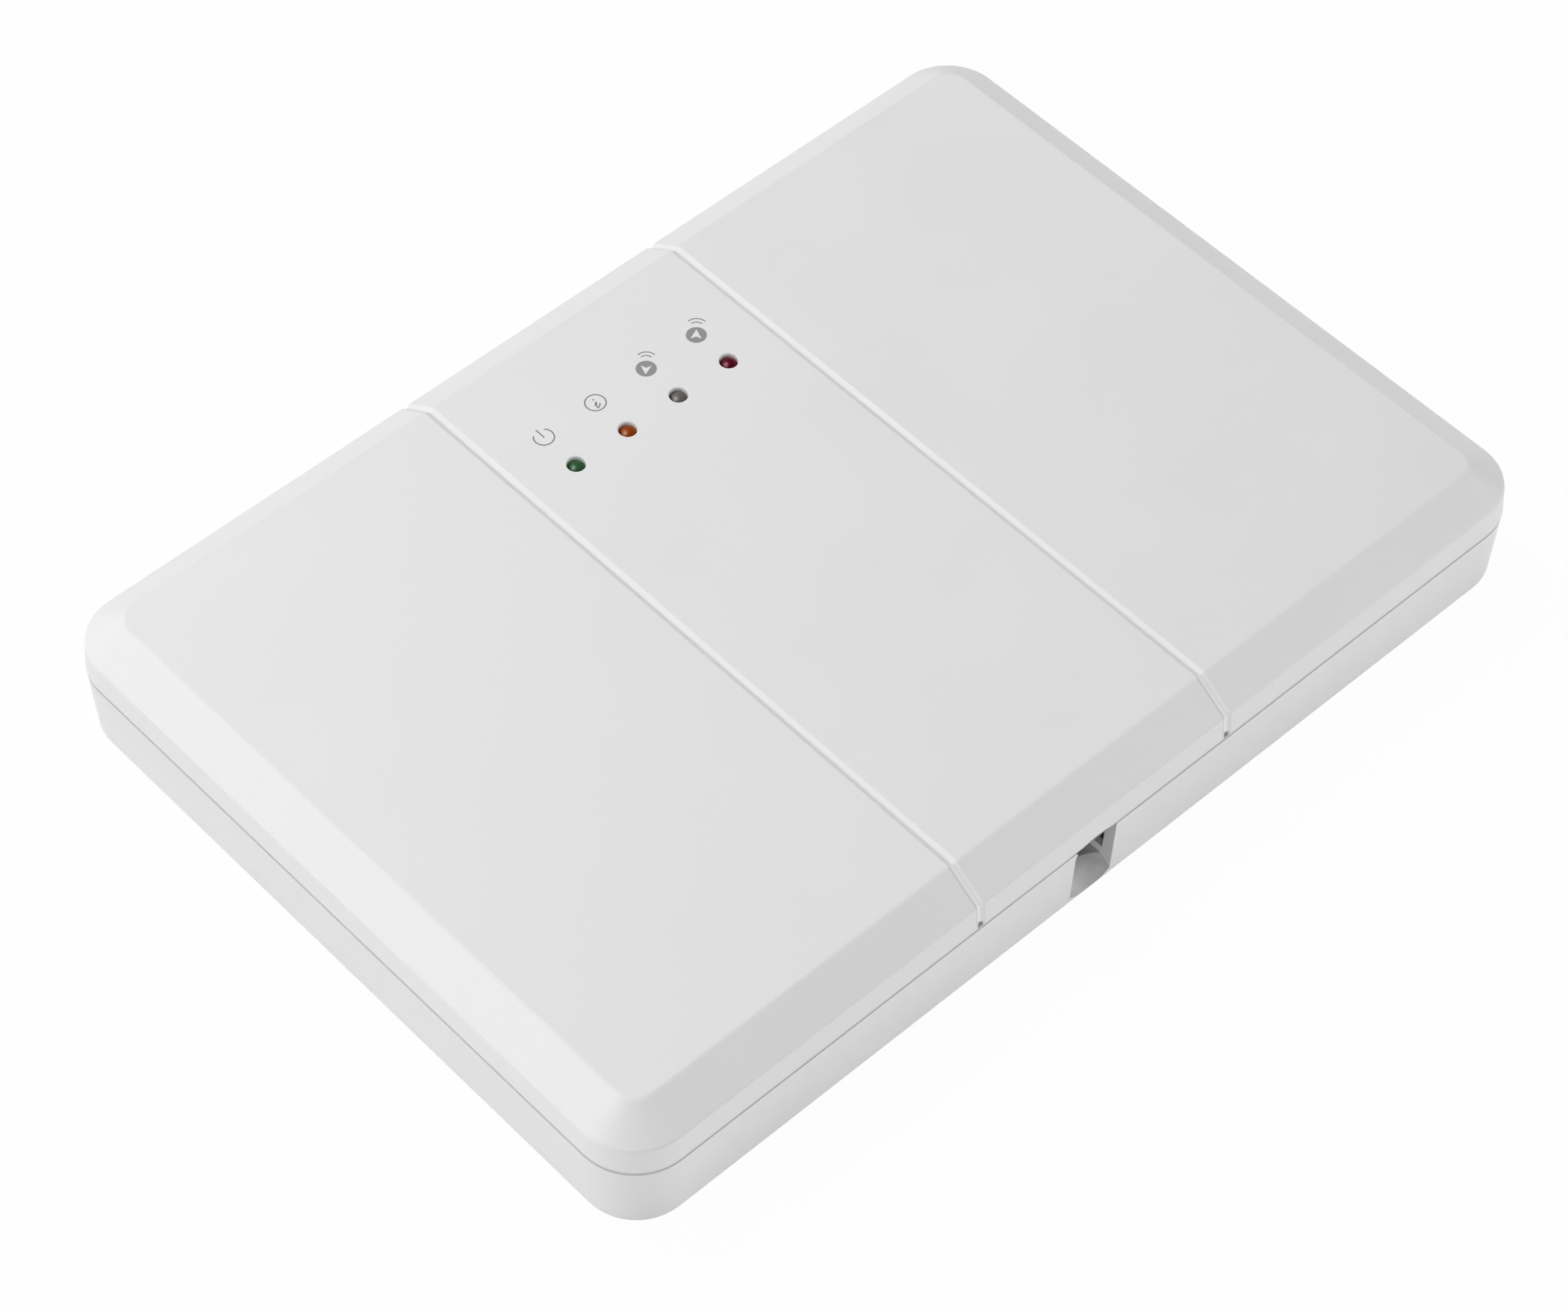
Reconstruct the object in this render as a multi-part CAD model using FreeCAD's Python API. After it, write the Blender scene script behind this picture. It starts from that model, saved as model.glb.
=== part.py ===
import FreeCAD, Part
import math
import os

# Wireless signal repeater: a flat wall box of two moulded shells, with its radio board,
# indicator lamps and standby battery inside. Millimetres. The origin is the centre of the
# rear face, +X runs along the long side, +Y is up on the wall and +Z comes out of the front.

os.makedirs("parts", exist_ok=True)
vec = FreeCAD.Vector
x_dir = vec(1, 0, 0)
y_dir = vec(0, 1, 0)
z_dir = vec(0, 0, 1)

# Housing, both shells
length = 200.0
width = 139.0
height = 24.4
corner_r = 10.4
base_height = 14.4
parting_gap = 0.45
wall = 2.1
floor_t = 2.0
base_step = 0.05
base_draft = 0.6
rear_edge_r = 1.0
rim_lip = 1.1
tongue_gap = 0.2
tongue_rise = 2.2

# Front cover
cover_draft = 0.45
chamfer_w = 6.5
chamfer_h = 4.4
top_crease_r = 1.2
rim_crease_r = 0.8
groove_pitch = 54.8
groove_w = 2.0
groove_depth = 0.9
groove_edge_r = 0.45
groove_steps = 3
pry_notch_w = 1.1
pry_notch_h = 0.9
rib_t = 1.3
rib_depth = 2.0
rib_end_gap = 12.0

# Indicator lamps: the common 3 mm size
lamp_pitch = 11.3
lamp_inset = 32.2
lamp_r = 1.45
lamp_flange_r = 1.9
lamp_flange_h = 1.0
lamp_h = 5.3
lamp_sink = 0.15
lamp_hole_r = 1.64
lamp_hole_edge = 0.15
lamp_shroud_gap = 0.6
lamp_shroud_t = 0.8
lamp_shroud_clear = 0.4
spacer_r = 2.5

# Cable entry in the lower side wall
entry_w = 9.0
entry_x = -2.0
entry_step = 1.75
entry_rib_h = 1.75
entry_rib_t = 1.2
entry_run = 6.0
ramp_tilt = 39.0
ramp_r = 9.0
ramp_low = 0.45
arch_rise = 0.4
arch_w = 6.5
nib_w = 0.4
nib_h = 1.4
nib_tip = 0.5
nib_d = 0.9
rear_slot_l = 28.0
rear_slot_w = 9.0
rear_slot_r = 2.0
rear_slot_gap = 1.5

# Wall fixing holes
fix_pitch_x = 172.0
fix_pitch_y = 108.0
fix_hole_r = 2.25
fix_head_r = 4.2
fix_collar_t = 1.4
fix_collar_h = 4.0
fix_seat_t = 1.2

# Latches between the shells
hook_spread = 90.0
hook_w = 8.0
hook_t = 1.8
hook_gap = 0.3
catch_reach = 1.2
catch_h = 1.5
catch_top = 10.8
catch_margin = 1.0
hook_grip = 0.5
hook_slack = 0.5
hook_foot = 2.0
snap_spread = 110.0
snap_clear = 0.2

# Main board
board_end_gap = 8.0
board_side_gap = 23.5
board_cradle_gap = 1.95
board_y = 0.0
board_t = 1.6
board_corner_r = 2.0
boss_h = 6.0
boss_r = 3.2
hole_inset = 4.0
screw_r = 1.25
screw_hole_gap = 0.25
screw_head_r = 2.6
screw_head_h = 1.9
screw_reach = 5.0
screw_slot_w = 0.6
screw_slot_d = 0.8
thread_clear = 0.05

# Standby battery
cell_r = 7.0
cell_l = 49.2
cell_nub_r = 2.6
cell_nub_h = 0.9
cell_edge_r = 0.8
cell_gap = 0.2
cell_count = 4
pack_wall_gap = 0.9
pack_y = -14.0
sleeve_t = 0.3
sleeve_gap = 0.05
sleeve_edge_r = 6.6
cradle_gap = 0.3
cradle_t = 1.4
cradle_h = 6.0
cradle_l = 12.0
strap_w = 9.0
strap_t = 1.4
strap_gap = 0.1
strap_post_h = 4.0
strap_post_r = 3.2

# Battery lead
wire_r = 0.7
wire_pitch = 2.5
wire_bend_r = 4.0
wire_drop = 4.2
wire_run_up = 9.0
socket_l = 6.0
socket_w = 7.5
socket_h = 5.5
socket_mouth_d = 4.2
plug_l = 5.0
plug_in = 3.6
plug_w = 6.2
plug_h = 4.2

# Radio module and antennas
radio_inset_x = 34.0
radio_inset_y = 24.0
radio_l = 32.0
radio_w = 24.0
radio_t = 1.0
radio_lift = 2.5
shield_l = 21.0
shield_w = 18.0
shield_h = 2.8
shield_t = 0.3
shield_edge_r = 0.6
shield_shift = -3.0
pin_pitch = 2.54
pin_w = 0.64
pin_bar_w = 2.4
radio_pin_count = 8
antenna_wire_r = 0.6
antenna_rise = 7.0
antenna_bend_r = 2.5
antenna_run = 78.0
antenna_top_inset = 11.0
antenna_edge_gap = 3.0
antenna_side_inset = 12.0
post_r = 2.0
post_cap = 1.6
post_gap = 0.1
post_spots = (0.35, 0.9)

# Terminal block
pole_pitch = 5.08
pole_count = 4
block_w = 8.4
block_h = 8.6
block_step = 3.0
block_slope = 2.4
block_end_t = 0.8
block_edge_gap = 0.6
wire_mouth_w = 3.4
wire_mouth_h = 3.4
wire_mouth_lift = 1.2
wire_mouth_d = 5.6
well_r = 1.8
well_d = 2.4
clamp_screw_r = 1.6
clamp_screw_h = 1.6
clamp_slot_w = 0.5
clamp_slot_d = 0.6

# Service controls
switch_inset = 14.0
dip_y = -24.0
dip_l = 11.6
dip_w = 6.6
dip_h = 3.6
dip_pitch = 2.54
dip_count = 4
dip_travel = 1.4
dip_key = 1.3
dip_key_rise = 0.7
dip_key_gap = 0.1
dip_slot_d = 1.6
key_y = -6.0
key_body = 6.0
key_body_h = 3.8
key_stem_r = 1.7
key_cap_r = 2.9
key_cap_h = 3.0
key_cap_edge_r = 0.4
key_travel = 0.5
key_gap = 0.05
tamper_y = 10.0
tamper_l = 8.0
tamper_w = 6.4
tamper_edge_r = 0.6
tamper_stem_r = 1.5
tamper_stem_edge_r = 0.5
tamper_travel = 1.2
tamper_stand = 2.4
tamper_gap = 0.3
tamper_post_r = 2.6
tamper_post_l = 2.4

# Other board parts
controller_x = 14.0
controller_y = 6.0
controller_l = 12.0
controller_h = 1.4
lead_count = 12
lead_pitch = 0.8
lead_w = 0.4
lead_reach = 1.0
lead_t = 0.25
chip_l = 8.0
chip_w = 5.4
chip_h = 1.7
chip_draft = 0.3
chip_corner_r = 0.2
chip_x = -6.0
chip_rows = (12.0, 0.0)
driver_inset = 56.0
driver_y = -8.0
can_r = 4.0
can_h = 7.0
can_neck = 0.3
can_edge_r = 0.4
can_base_h = 0.8
can_base_cut = 1.2
can_insets = (64.0, 53.0, 42.0)
can_inset_y = 12.0
choke_inset_x = 30.0
choke_inset_y = 13.0
choke_r = 4.6
choke_h = 4.4
choke_groove = 1.0
choke_flange = 0.9
regulator_inset_x = 16.0
regulator_inset_y = 16.0
regulator_l = 6.5
regulator_w = 6.2
regulator_h = 2.3
regulator_tab = 1.8
regulator_tab_w = 5.2
regulator_tab_t = 0.6
crystal_x = 14.0
crystal_y = -8.0
crystal_l = 11.0
crystal_w = 4.4
crystal_h = 3.5
crystal_end_flat = 0.1
crystal_edge_r = 0.4
fuse_inset = 22.0
fuse_y = -14.0
fuse_l = 20.0
fuse_r = 2.5
fuse_cap_l = 5.0
fuse_glass_t = 0.5
fuse_lift = 1.4
clip_w = 3.6
clip_t = 0.4
clip_gap = 0.05
jumper_inset_x = 21.0
jumper_inset_y = 22.0
jumper_pins = 3
jumper_bar_h = 2.5
jumper_pin_h = 6.0
link_h = 5.0
link_w = 2.4
link_gap = 0.1

# Places worked out from the sizes above
half_l = length / 2
half_w = width / 2
cover_low = base_height + parting_gap
crease_z = height - chamfer_h
chamfer_angle = math.atan2(chamfer_h, chamfer_w)
tongue_top = base_height + parting_gap + tongue_rise
board_z = floor_t + boss_h
board_top = board_z + board_t
cover_inside = height - wall
wall_inside = half_w - base_step - wall
lamp_y = half_w - lamp_inset

pack_half_x = cell_l / 2 + cell_nub_h + sleeve_gap + sleeve_t
pack_half_y = cell_count * cell_r + (cell_count - 1) * cell_gap / 2 + sleeve_gap + sleeve_t
pack_top = floor_t + 2 * (sleeve_t + sleeve_gap + cell_r)
pack_x = pack_wall_gap + pack_half_x + base_step + base_draft + wall - half_l

board_left = pack_x + pack_half_x + cradle_gap + cradle_t + board_cradle_gap
board_right = half_l - board_end_gap
board_l = board_right - board_left
board_x = (board_left + board_right) / 2
board_w = width - 2 * board_side_gap
board_low_y = board_y - board_w / 2
board_high_y = board_y + board_w / 2

switch_x = board_left + switch_inset
tamper_top = cover_inside - tamper_post_l - tamper_gap
tamper_h = tamper_top - tamper_stand - board_top
antenna_top_y = board_high_y - antenna_edge_gap
antenna_side_x = board_right - antenna_edge_gap - screw_head_r
radio_x = board_right - radio_inset_x
radio_y = board_high_y - radio_inset_y
radio_top = board_top + radio_lift + radio_t
chip_spots = [(chip_x, y) for y in chip_rows] + [(board_right - driver_inset, driver_y)]
can_spots = [(board_right - inset, board_low_y + can_inset_y) for inset in can_insets]
choke_x = board_right - choke_inset_x
choke_y = board_low_y + choke_inset_y
regulator_x = board_right - regulator_inset_x
regulator_y = board_low_y + regulator_inset_y
fuse_x = board_right - fuse_inset
fuse_z = board_top + fuse_lift + fuse_r
jumper_x = board_left + jumper_inset_x
jumper_y = board_high_y - jumper_inset_y
block_front = board_low_y + block_edge_gap
lead_y = pack_y + pack_half_y + wire_run_up
lead_z = pack_top - wire_drop
socket_x = board_left + plug_l + socket_l / 2
plug_x = socket_x - socket_l / 2 + plug_in - plug_l


def box(x0, x1, y0, y1, z0, z1):
    return Part.makeBox(x1 - x0, y1 - y0, z1 - z0, vec(x0, y0, z0))


def block(x, y, z, l, w, h):
    return box(x - l / 2, x + l / 2, y - w / 2, y + w / 2, z, z + h)


def rod(x, y, z, r, h, axis=z_dir):
    return Part.makeCylinder(r, h, vec(x, y, z), axis)


def rounded_wire(half_x, half_y, r, z):
    # a rectangle with round corners, as four lines and four arcs
    ix = half_x - r
    iy = half_y - r
    d = r * math.sqrt(0.5)
    spots = []
    for sx, sy in ((1, 1), (-1, 1), (-1, -1), (1, -1)):
        a = vec(sx * half_x, sy * iy, z)
        b = vec(sx * (ix + d), sy * (iy + d), z)
        c = vec(sx * ix, sy * half_y, z)
        spots.append((a, b, c) if sx * sy > 0 else (c, b, a))
    edges = []
    for i, (a, b, c) in enumerate(spots):
        edges.append(Part.Arc(a, b, c).toShape())
        following = spots[(i + 1) % len(spots)][0]
        edges.append(Part.makeLine(c, following))
    return Part.Wire(edges)


def rounded_slab(half_x, half_y, r, z0, z1, x=0.0, y=0.0):
    face = Part.Face(rounded_wire(half_x, half_y, r, z0))
    solid = face.extrude(vec(0, 0, z1 - z0))
    solid.translate(vec(x, y, 0))
    return solid


def ring_loft(rings):
    # rings: (inset from the outer size, height), joined by straight walls
    wires = [rounded_wire(half_l - inset, half_w - inset, corner_r - inset, z) for inset, z in rings]
    return Part.makeLoft(wires, True, True)


def edges_at(solid, z):
    found = []
    for edge in solid.Edges:
        bounds = edge.BoundBox
        if abs(bounds.ZMin - z) < 1e-6 and abs(bounds.ZMax - z) < 1e-6:
            found.append(edge)
    return found


def prism_x(points, x0, x1):
    # a closed outline in the YZ plane, drawn out along X
    corners = [vec(x0, y, z) for y, z in points]
    face = Part.Face(Part.makePolygon(corners + corners[:1]))
    return face.extrude(vec(x1 - x0, 0, 0))


def tube_along(edges, r, start, direction):
    path = Part.Wire(edges)
    ring = Part.Wire([Part.makeCircle(r, start, direction)])
    return path.makePipeShell([ring], True, False)


def slotted_screw(x, y, z, r, reach, head_r, head_h, slot_w, slot_d):
    # a pan head standing on z, with its shank below
    screw = rod(x, y, z, head_r, head_h).fuse(rod(x, y, z - reach, r, reach))
    screw = screw.cut(block(x, y, z + head_h - slot_d, 2 * head_r, slot_w, slot_d))
    return screw.removeSplitter()


def cover_form(depth, low):
    # the front's outer form, moved in by depth on every face
    crease_drop = depth * math.tan((math.pi / 2 - chamfer_angle) / 2)
    top_shift = depth * math.tan(chamfer_angle / 2)
    return ring_loft([
        (depth, low),
        (cover_draft + depth, crease_z - crease_drop),
        (cover_draft + chamfer_w + top_shift, height - depth),
    ])


def groove_section(depth):
    # the front's cross-section moved in by depth, with no rounding
    crease_drop = depth * math.tan((math.pi / 2 - chamfer_angle) / 2)
    top_shift = depth * math.tan(chamfer_angle / 2)
    low_y = half_w - depth
    crease_y = half_w - cover_draft - depth
    top_y = half_w - cover_draft - chamfer_w - top_shift
    crease = crease_z - crease_drop
    side = [(low_y, cover_low - depth), (crease_y, crease), (top_y, height - depth)]
    return side + [(-y, z) for y, z in reversed(side)]


def grooves():
    # each groove has a flat bottom and rounded panel edges that follow the front's outline
    cuts = []
    half_bottom = groove_w / 2 - groove_edge_r
    side = []
    for i in range(groove_steps + 1):
        turn = math.pi / 2 * i / groove_steps
        side.append((half_bottom + groove_edge_r * (1 - math.cos(turn)),
                     groove_depth * (1 - math.sin(turn))))
    profile = [(-across, depth) for across, depth in reversed(side)] + side
    for x in (-groove_pitch / 2, groove_pitch / 2):
        wires = []
        for across, depth in profile:
            corners = [vec(x + across, y, z) for y, z in groove_section(depth)]
            wires.append(Part.makePolygon(corners + corners[:1]))
        core = Part.makeLoft(wires, True, True)
        reach = profile[-1][0]
        slab = box(x - reach, x + reach, -width, width, cover_low - groove_depth, 2 * height)
        cuts.append(slab.cut(core))
    return cuts


def lamp_places():
    first = -lamp_pitch * 1.5
    return [first + i * lamp_pitch for i in range(4)]


def fix_places():
    return [(sx * fix_pitch_x / 2, sy * fix_pitch_y / 2) for sx in (-1, 1) for sy in (-1, 1)]


def board_holes():
    half_x = board_l / 2 - hole_inset
    half_y = board_w / 2 - hole_inset
    return [(board_x + i * half_x, board_y + j * half_y) for i in (-1, 0, 1) for j in (-1, 1)]


def latch_arm(side):
    # an arm of the cover on one long side; side is +1 for the hooks, -1 for the snaps
    catch_y = wall_inside - catch_reach
    arm_out = catch_y - hook_gap
    arm_in = arm_out - hook_t
    foot_top = catch_top - catch_h - hook_slack
    foot_low = foot_top - hook_foot
    if side > 0:
        outline = [
            (arm_in, height), (arm_out, height), (arm_out, foot_top),
            (catch_y + hook_grip, foot_top), (catch_y + hook_grip, foot_top - hook_foot / 2),
            (arm_out, foot_low), (arm_in, foot_low),
        ]
        places = (-hook_spread / 2, hook_spread / 2)
    else:
        outline = [(arm_in, height), (arm_out, height), (arm_out, foot_low), (arm_in, foot_low)]
        places = (-snap_spread / 2, snap_spread / 2)
    arms = []
    for x in places:
        arm = prism_x([(side * y, z) for y, z in outline], x - hook_w / 2, x + hook_w / 2)
        if side < 0:
            bead = rod(x - hook_w / 2, -arm_out, foot_top, hook_gap - snap_clear / 2, hook_w, x_dir)
            arm = arm.fuse(bead)
        arms.append(arm)
    return arms


def front_cover():
    outer = cover_form(0.0, cover_low)
    outer = outer.makeFillet(rim_crease_r, edges_at(outer, crease_z))
    outer = outer.makeFillet(top_crease_r, edges_at(outer, height))
    for cut in grooves():
        outer = outer.cut(cut)
    cavity = cover_form(wall, cover_low - wall)
    cover = outer.cut(cavity)
    rebate = ring_loft([(rim_lip, cover_low - wall), (rim_lip, tongue_top)])
    cover = cover.cut(rebate)
    inner_skin = cover_form(wall / 2, cover_low - height)

    # lamp holes, each with a round shroud inside
    roof_middle = cover_inside + wall / 2
    shroud_low = height - lamp_sink - lamp_h + lamp_flange_h + lamp_shroud_clear
    shroud_r = lamp_flange_r + lamp_shroud_gap
    for x in lamp_places():
        shroud = rod(x, lamp_y, shroud_low, shroud_r + lamp_shroud_t, roof_middle - shroud_low)
        cover = cover.fuse(shroud.cut(rod(x, lamp_y, shroud_low, shroud_r, cover_inside - shroud_low)))
        cover = cover.cut(rod(x, lamp_y, shroud_low, lamp_hole_r, height))
        bevel_low = height - lamp_hole_edge
        bevel = Part.makeCone(lamp_hole_r, lamp_hole_r + lamp_hole_edge, lamp_hole_edge, vec(x, lamp_y, bevel_low))
        cover = cover.cut(bevel)

    # stiffening ribs under the grooves
    for x in (-groove_pitch / 2, groove_pitch / 2):
        rib_end = half_w - chamfer_w - rib_end_gap
        rib = box(x - rib_t / 2, x + rib_t / 2, -rib_end, rib_end, cover_inside - rib_depth, roof_middle)
        cover = cover.fuse(rib)

    # the post that holds the tamper plunger down
    post_low = tamper_top + tamper_gap
    cover = cover.fuse(rod(switch_x, tamper_y, post_low, tamper_post_r, roof_middle - post_low))

    # a small square notch at each groove's lower foot, to pry the front off
    for x in (-groove_pitch / 2, groove_pitch / 2):
        notch = block(x, -half_w, cover_low - wall, pry_notch_w, 2 * rim_lip, wall + pry_notch_h)
        cover = cover.cut(notch)

    for side in (1, -1):
        for arm in latch_arm(side):
            cover = cover.fuse(arm.common(inner_skin))

    # the rim rises in a low arch over the cable entry
    arch_r = (arch_w * arch_w / 4 + arch_rise * arch_rise) / (2 * arch_rise)
    arch = rod(entry_x, -width, cover_low + arch_rise - arch_r, arch_r, half_w, y_dir)
    cover = cover.cut(arch)
    return cover.removeSplitter()


def base():
    outer = ring_loft([(base_step + base_draft, 0.0), (base_step, base_height)])
    outer = outer.makeFillet(rear_edge_r, edges_at(outer, 0.0))
    cavity = ring_loft([(base_step + base_draft + wall, floor_t), (base_step + wall, base_height)])
    shell = outer.cut(cavity)
    tongue = ring_loft([(rim_lip + tongue_gap, base_height - wall), (rim_lip + tongue_gap, tongue_top)])
    tongue_in = base_step + wall
    tongue = tongue.cut(ring_loft([(tongue_in, base_height - 2 * wall), (tongue_in, 2 * height)]))
    shell = shell.fuse(tongue)

    # board bosses
    for x, y in board_holes():
        shell = shell.fuse(rod(x, y, floor_t / 2, boss_r, board_z - floor_t / 2))
    for x, y in board_holes():
        shell = shell.cut(rod(x, y, board_z - screw_reach + board_t, screw_r + thread_clear, screw_reach))

    # wall fixing holes, each in a collar with a seat for the screw's head
    for x, y in fix_places():
        collar = rod(x, y, floor_t / 2, fix_head_r + fix_collar_t, floor_t / 2 + fix_collar_h)
        shell = shell.fuse(collar)
        shell = shell.cut(rod(x, y, floor_t + fix_seat_t, fix_head_r, height))
        shell = shell.cut(rod(x, y, -floor_t, fix_hole_r, height))

    shell = shell.fuse(battery_cradle())
    for x, y in strap_places():
        shell = shell.fuse(rod(x, y, floor_t / 2, strap_post_r, floor_t / 2 + strap_post_h))
        shell = shell.cut(rod(x, y, floor_t, screw_r + thread_clear, height))

    # catches for the cover's hooks, on the upper wall
    catch_w = hook_w + 2 * catch_margin
    for x in (-hook_spread / 2, hook_spread / 2):
        back = wall_inside + wall / 2
        tip = wall_inside - catch_reach
        outline = [(back, catch_top), (tip, catch_top - catch_reach / 2), (tip, catch_top - catch_h)]
        outline.append((back, catch_top - catch_h))
        shell = shell.fuse(prism_x(outline, x - catch_w / 2, x + catch_w / 2))

    shell = cable_entry(shell)
    return shell.removeSplitter()


def cable_entry(shell):
    x0 = entry_x - entry_w / 2
    x1 = entry_x + entry_w / 2
    outside = -half_w
    inside = -wall_inside
    step_top = floor_t + entry_step
    step_end = inside + entry_run

    # a raised floor with a low rib on each side, behind the opening
    step = box(x0 - entry_rib_t, x1 + entry_rib_t, outside + wall / 2, step_end, floor_t / 2, step_top)
    shell = shell.fuse(step.common(ring_loft([(wall, 0.0), (wall / 2, height)])))
    for rib_x in (x0 - entry_rib_t, x1):
        rib = box(rib_x, rib_x + entry_rib_t, inside - wall / 2, step_end, floor_t, step_top + entry_rib_h)
        shell = shell.fuse(rib)

    # the opening itself, through the wall and the tongue
    opening = box(x0, x1, outside - wall, inside + base_draft, step_top, height)
    shell = shell.cut(opening)

    # the hollow ramp that leads a cable down to the wall behind
    tilt = math.radians(ramp_tilt)
    along = vec(0, math.cos(tilt), math.sin(tilt))
    across = vec(0, -math.sin(tilt), math.cos(tilt))
    foot = vec(entry_x, outside + base_step + base_draft, ramp_low)
    centre = foot + across * ramp_r - along * width
    trough = Part.makeCylinder(ramp_r, 2 * width, centre, along)
    reach = box(x0, x1, outside - width, outside + 2 * entry_run, -height, step_top + ramp_r / 2)
    shell = shell.cut(trough.common(reach))

    # a wedge-shaped nib on the left edge, up to the parting line
    corners = [
        vec(x0 - nib_w, outside + base_step, base_height), vec(x0, outside + base_step, base_height),
        vec(x0 + nib_w, outside + base_step, base_height - nib_tip),
        vec(x0, outside + base_step, base_height - nib_h),
        vec(x0 - nib_w, outside + base_step, base_height - nib_h),
    ]
    nib = Part.Face(Part.makePolygon(corners + corners[:1])).extrude(y_dir * nib_d)
    shell = shell.fuse(nib.common(ring_loft([(base_step + base_draft, 0.0), (base_step, base_height)])))

    # the slot in the rear for a cable out of the wall
    slot_y = step_end + rear_slot_gap + rear_slot_w / 2
    slot = rounded_slab(rear_slot_l / 2, rear_slot_w / 2, rear_slot_r, -floor_t, 2 * floor_t, entry_x, slot_y)
    return shell.cut(slot)


def battery_cradle():
    # low corner walls round the pack
    half_x = pack_half_x + cradle_gap
    half_y = pack_half_y + cradle_gap
    walls = []
    for sx in (-1, 1):
        for sy in (-1, 1):
            corner = block(0, 0, floor_t / 2, 2 * (half_x + cradle_t), 2 * (half_y + cradle_t),
                           floor_t / 2 + cradle_h)
            corner = corner.cut(block(0, 0, 0, 2 * half_x, 2 * half_y, height))
            keep = block(sx * (half_x + cradle_t), sy * (half_y + cradle_t), 0,
                         2 * cradle_l, 2 * cradle_l, height)
            walls.append(corner.common(keep))
    cradle = walls[0].fuse(walls[1:])
    cradle.translate(vec(pack_x, pack_y, 0))
    return cradle


def strap_places():
    reach = pack_half_y + cradle_gap + cradle_t + strap_post_r
    return [(pack_x, pack_y - reach), (pack_x, pack_y + reach)]


def battery_cells():
    cells = []
    for i in range(cell_count):
        y = pack_y + (i - (cell_count - 1) / 2) * (2 * cell_r + cell_gap)
        z = floor_t + sleeve_t + sleeve_gap + cell_r
        end = -1 if i % 2 else 1
        can = rod(pack_x - cell_l / 2, y, z, cell_r, cell_l, x_dir)
        can = can.makeFillet(cell_edge_r, [e for e in can.Edges if e.Curve.TypeId == "Part::GeomCircle"])
        nub_x = pack_x + cell_l / 2 if end > 0 else pack_x - cell_l / 2 - cell_nub_h
        cells.append(can.fuse(rod(nub_x, y, z, cell_nub_r, cell_nub_h, x_dir)))
    return Part.makeCompound(cells)


def battery_sleeve():
    half_x = pack_half_x
    half_y = pack_half_y
    outer = block(0, 0, floor_t, 2 * half_x, 2 * half_y, pack_top - floor_t)
    long_edges = [e for e in outer.Edges if e.BoundBox.XLength > half_x]
    outer = outer.makeFillet(sleeve_edge_r, long_edges)
    t = sleeve_t
    inner = block(0, 0, floor_t + t, 2 * (half_x + t), 2 * (half_y - t), pack_top - floor_t - 2 * t)
    long_edges = [e for e in inner.Edges if e.BoundBox.XLength > half_x]
    inner = inner.makeFillet(sleeve_edge_r - t, long_edges)
    sleeve = outer.cut(inner)
    sleeve.translate(vec(pack_x, pack_y, 0))
    return sleeve


def battery_strap():
    half_y = pack_half_y + cradle_gap + cradle_t
    top = pack_top + strap_gap
    low = floor_t + strap_post_h
    reach = half_y + 2 * strap_post_r
    outer_y = half_y
    inner_y = half_y - strap_t
    outline = [
        (-reach, low), (-reach, low + strap_t), (-outer_y, low + strap_t), (-outer_y, top + strap_t),
        (outer_y, top + strap_t), (outer_y, low + strap_t), (reach, low + strap_t), (reach, low),
        (inner_y, low), (inner_y, top), (-inner_y, top), (-inner_y, low),
    ]
    strap = prism_x([(pack_y + y, z) for y, z in outline], pack_x - strap_w / 2, pack_x + strap_w / 2)
    for x, y in strap_places():
        strap = strap.cut(rod(x, y, 0, screw_r + screw_hole_gap, height))
    return strap


def screws_at(places, z, reach):
    return Part.makeCompound([
        slotted_screw(x, y, z, screw_r, reach, screw_head_r, screw_head_h, screw_slot_w, screw_slot_d)
        for x, y in places])


def main_board():
    board = rounded_slab(board_l / 2, board_w / 2, board_corner_r, board_z, board_top, board_x, board_y)
    for x, y in board_holes():
        board = board.cut(rod(x, y, 0, screw_r + screw_hole_gap, height))
    return board


def lamp(x):
    low = height - lamp_sink - lamp_h
    dome_z = height - lamp_sink - lamp_r
    body = rod(x, lamp_y, low, lamp_r, dome_z - low)
    body = body.fuse(rod(x, lamp_y, low, lamp_flange_r, lamp_flange_h))
    body = body.fuse(Part.makeSphere(lamp_r, vec(x, lamp_y, dome_z), z_dir, 0, 90))
    return body.removeSplitter()


def lamp_spacers():
    top = height - lamp_sink - lamp_h
    return Part.makeCompound([rod(x, lamp_y, board_top, spacer_r, top - board_top) for x in lamp_places()])


def terminal_x(i):
    return entry_x + (i - (pole_count - 1) / 2) * pole_pitch


def terminal_block():
    front = block_front
    back = front + block_w
    z = board_top
    half = pole_count * pole_pitch / 2 + block_end_t
    outline = [
        (front, z), (back, z), (back, z + block_h - block_step / 2), (back - block_step / 2, z + block_h),
        (front + block_slope, z + block_h), (front, z + block_h - block_step),
    ]
    body = prism_x(outline, entry_x - half, entry_x + half)
    for i in range(pole_count):
        x = terminal_x(i)
        mouth_z = z + wire_mouth_lift
        body = body.cut(box(x - wire_mouth_w / 2, x + wire_mouth_w / 2, front - block_w, front + wire_mouth_d,
                            mouth_z, mouth_z + wire_mouth_h))
        body = body.cut(rod(x, front + block_w / 2, z + block_h - well_d, well_r, 2 * well_d))
    return body


def terminal_screws():
    screws = []
    for i in range(pole_count):
        x = terminal_x(i)
        y = block_front + block_w / 2
        z = board_top + block_h - well_d
        head = rod(x, y, z, clamp_screw_r, clamp_screw_h)
        screws.append(head.cut(block(x, y, z + clamp_screw_h - clamp_slot_d, 2 * clamp_screw_r,
                                     clamp_slot_w, clamp_slot_d)))
    return Part.makeCompound(screws)


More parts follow.
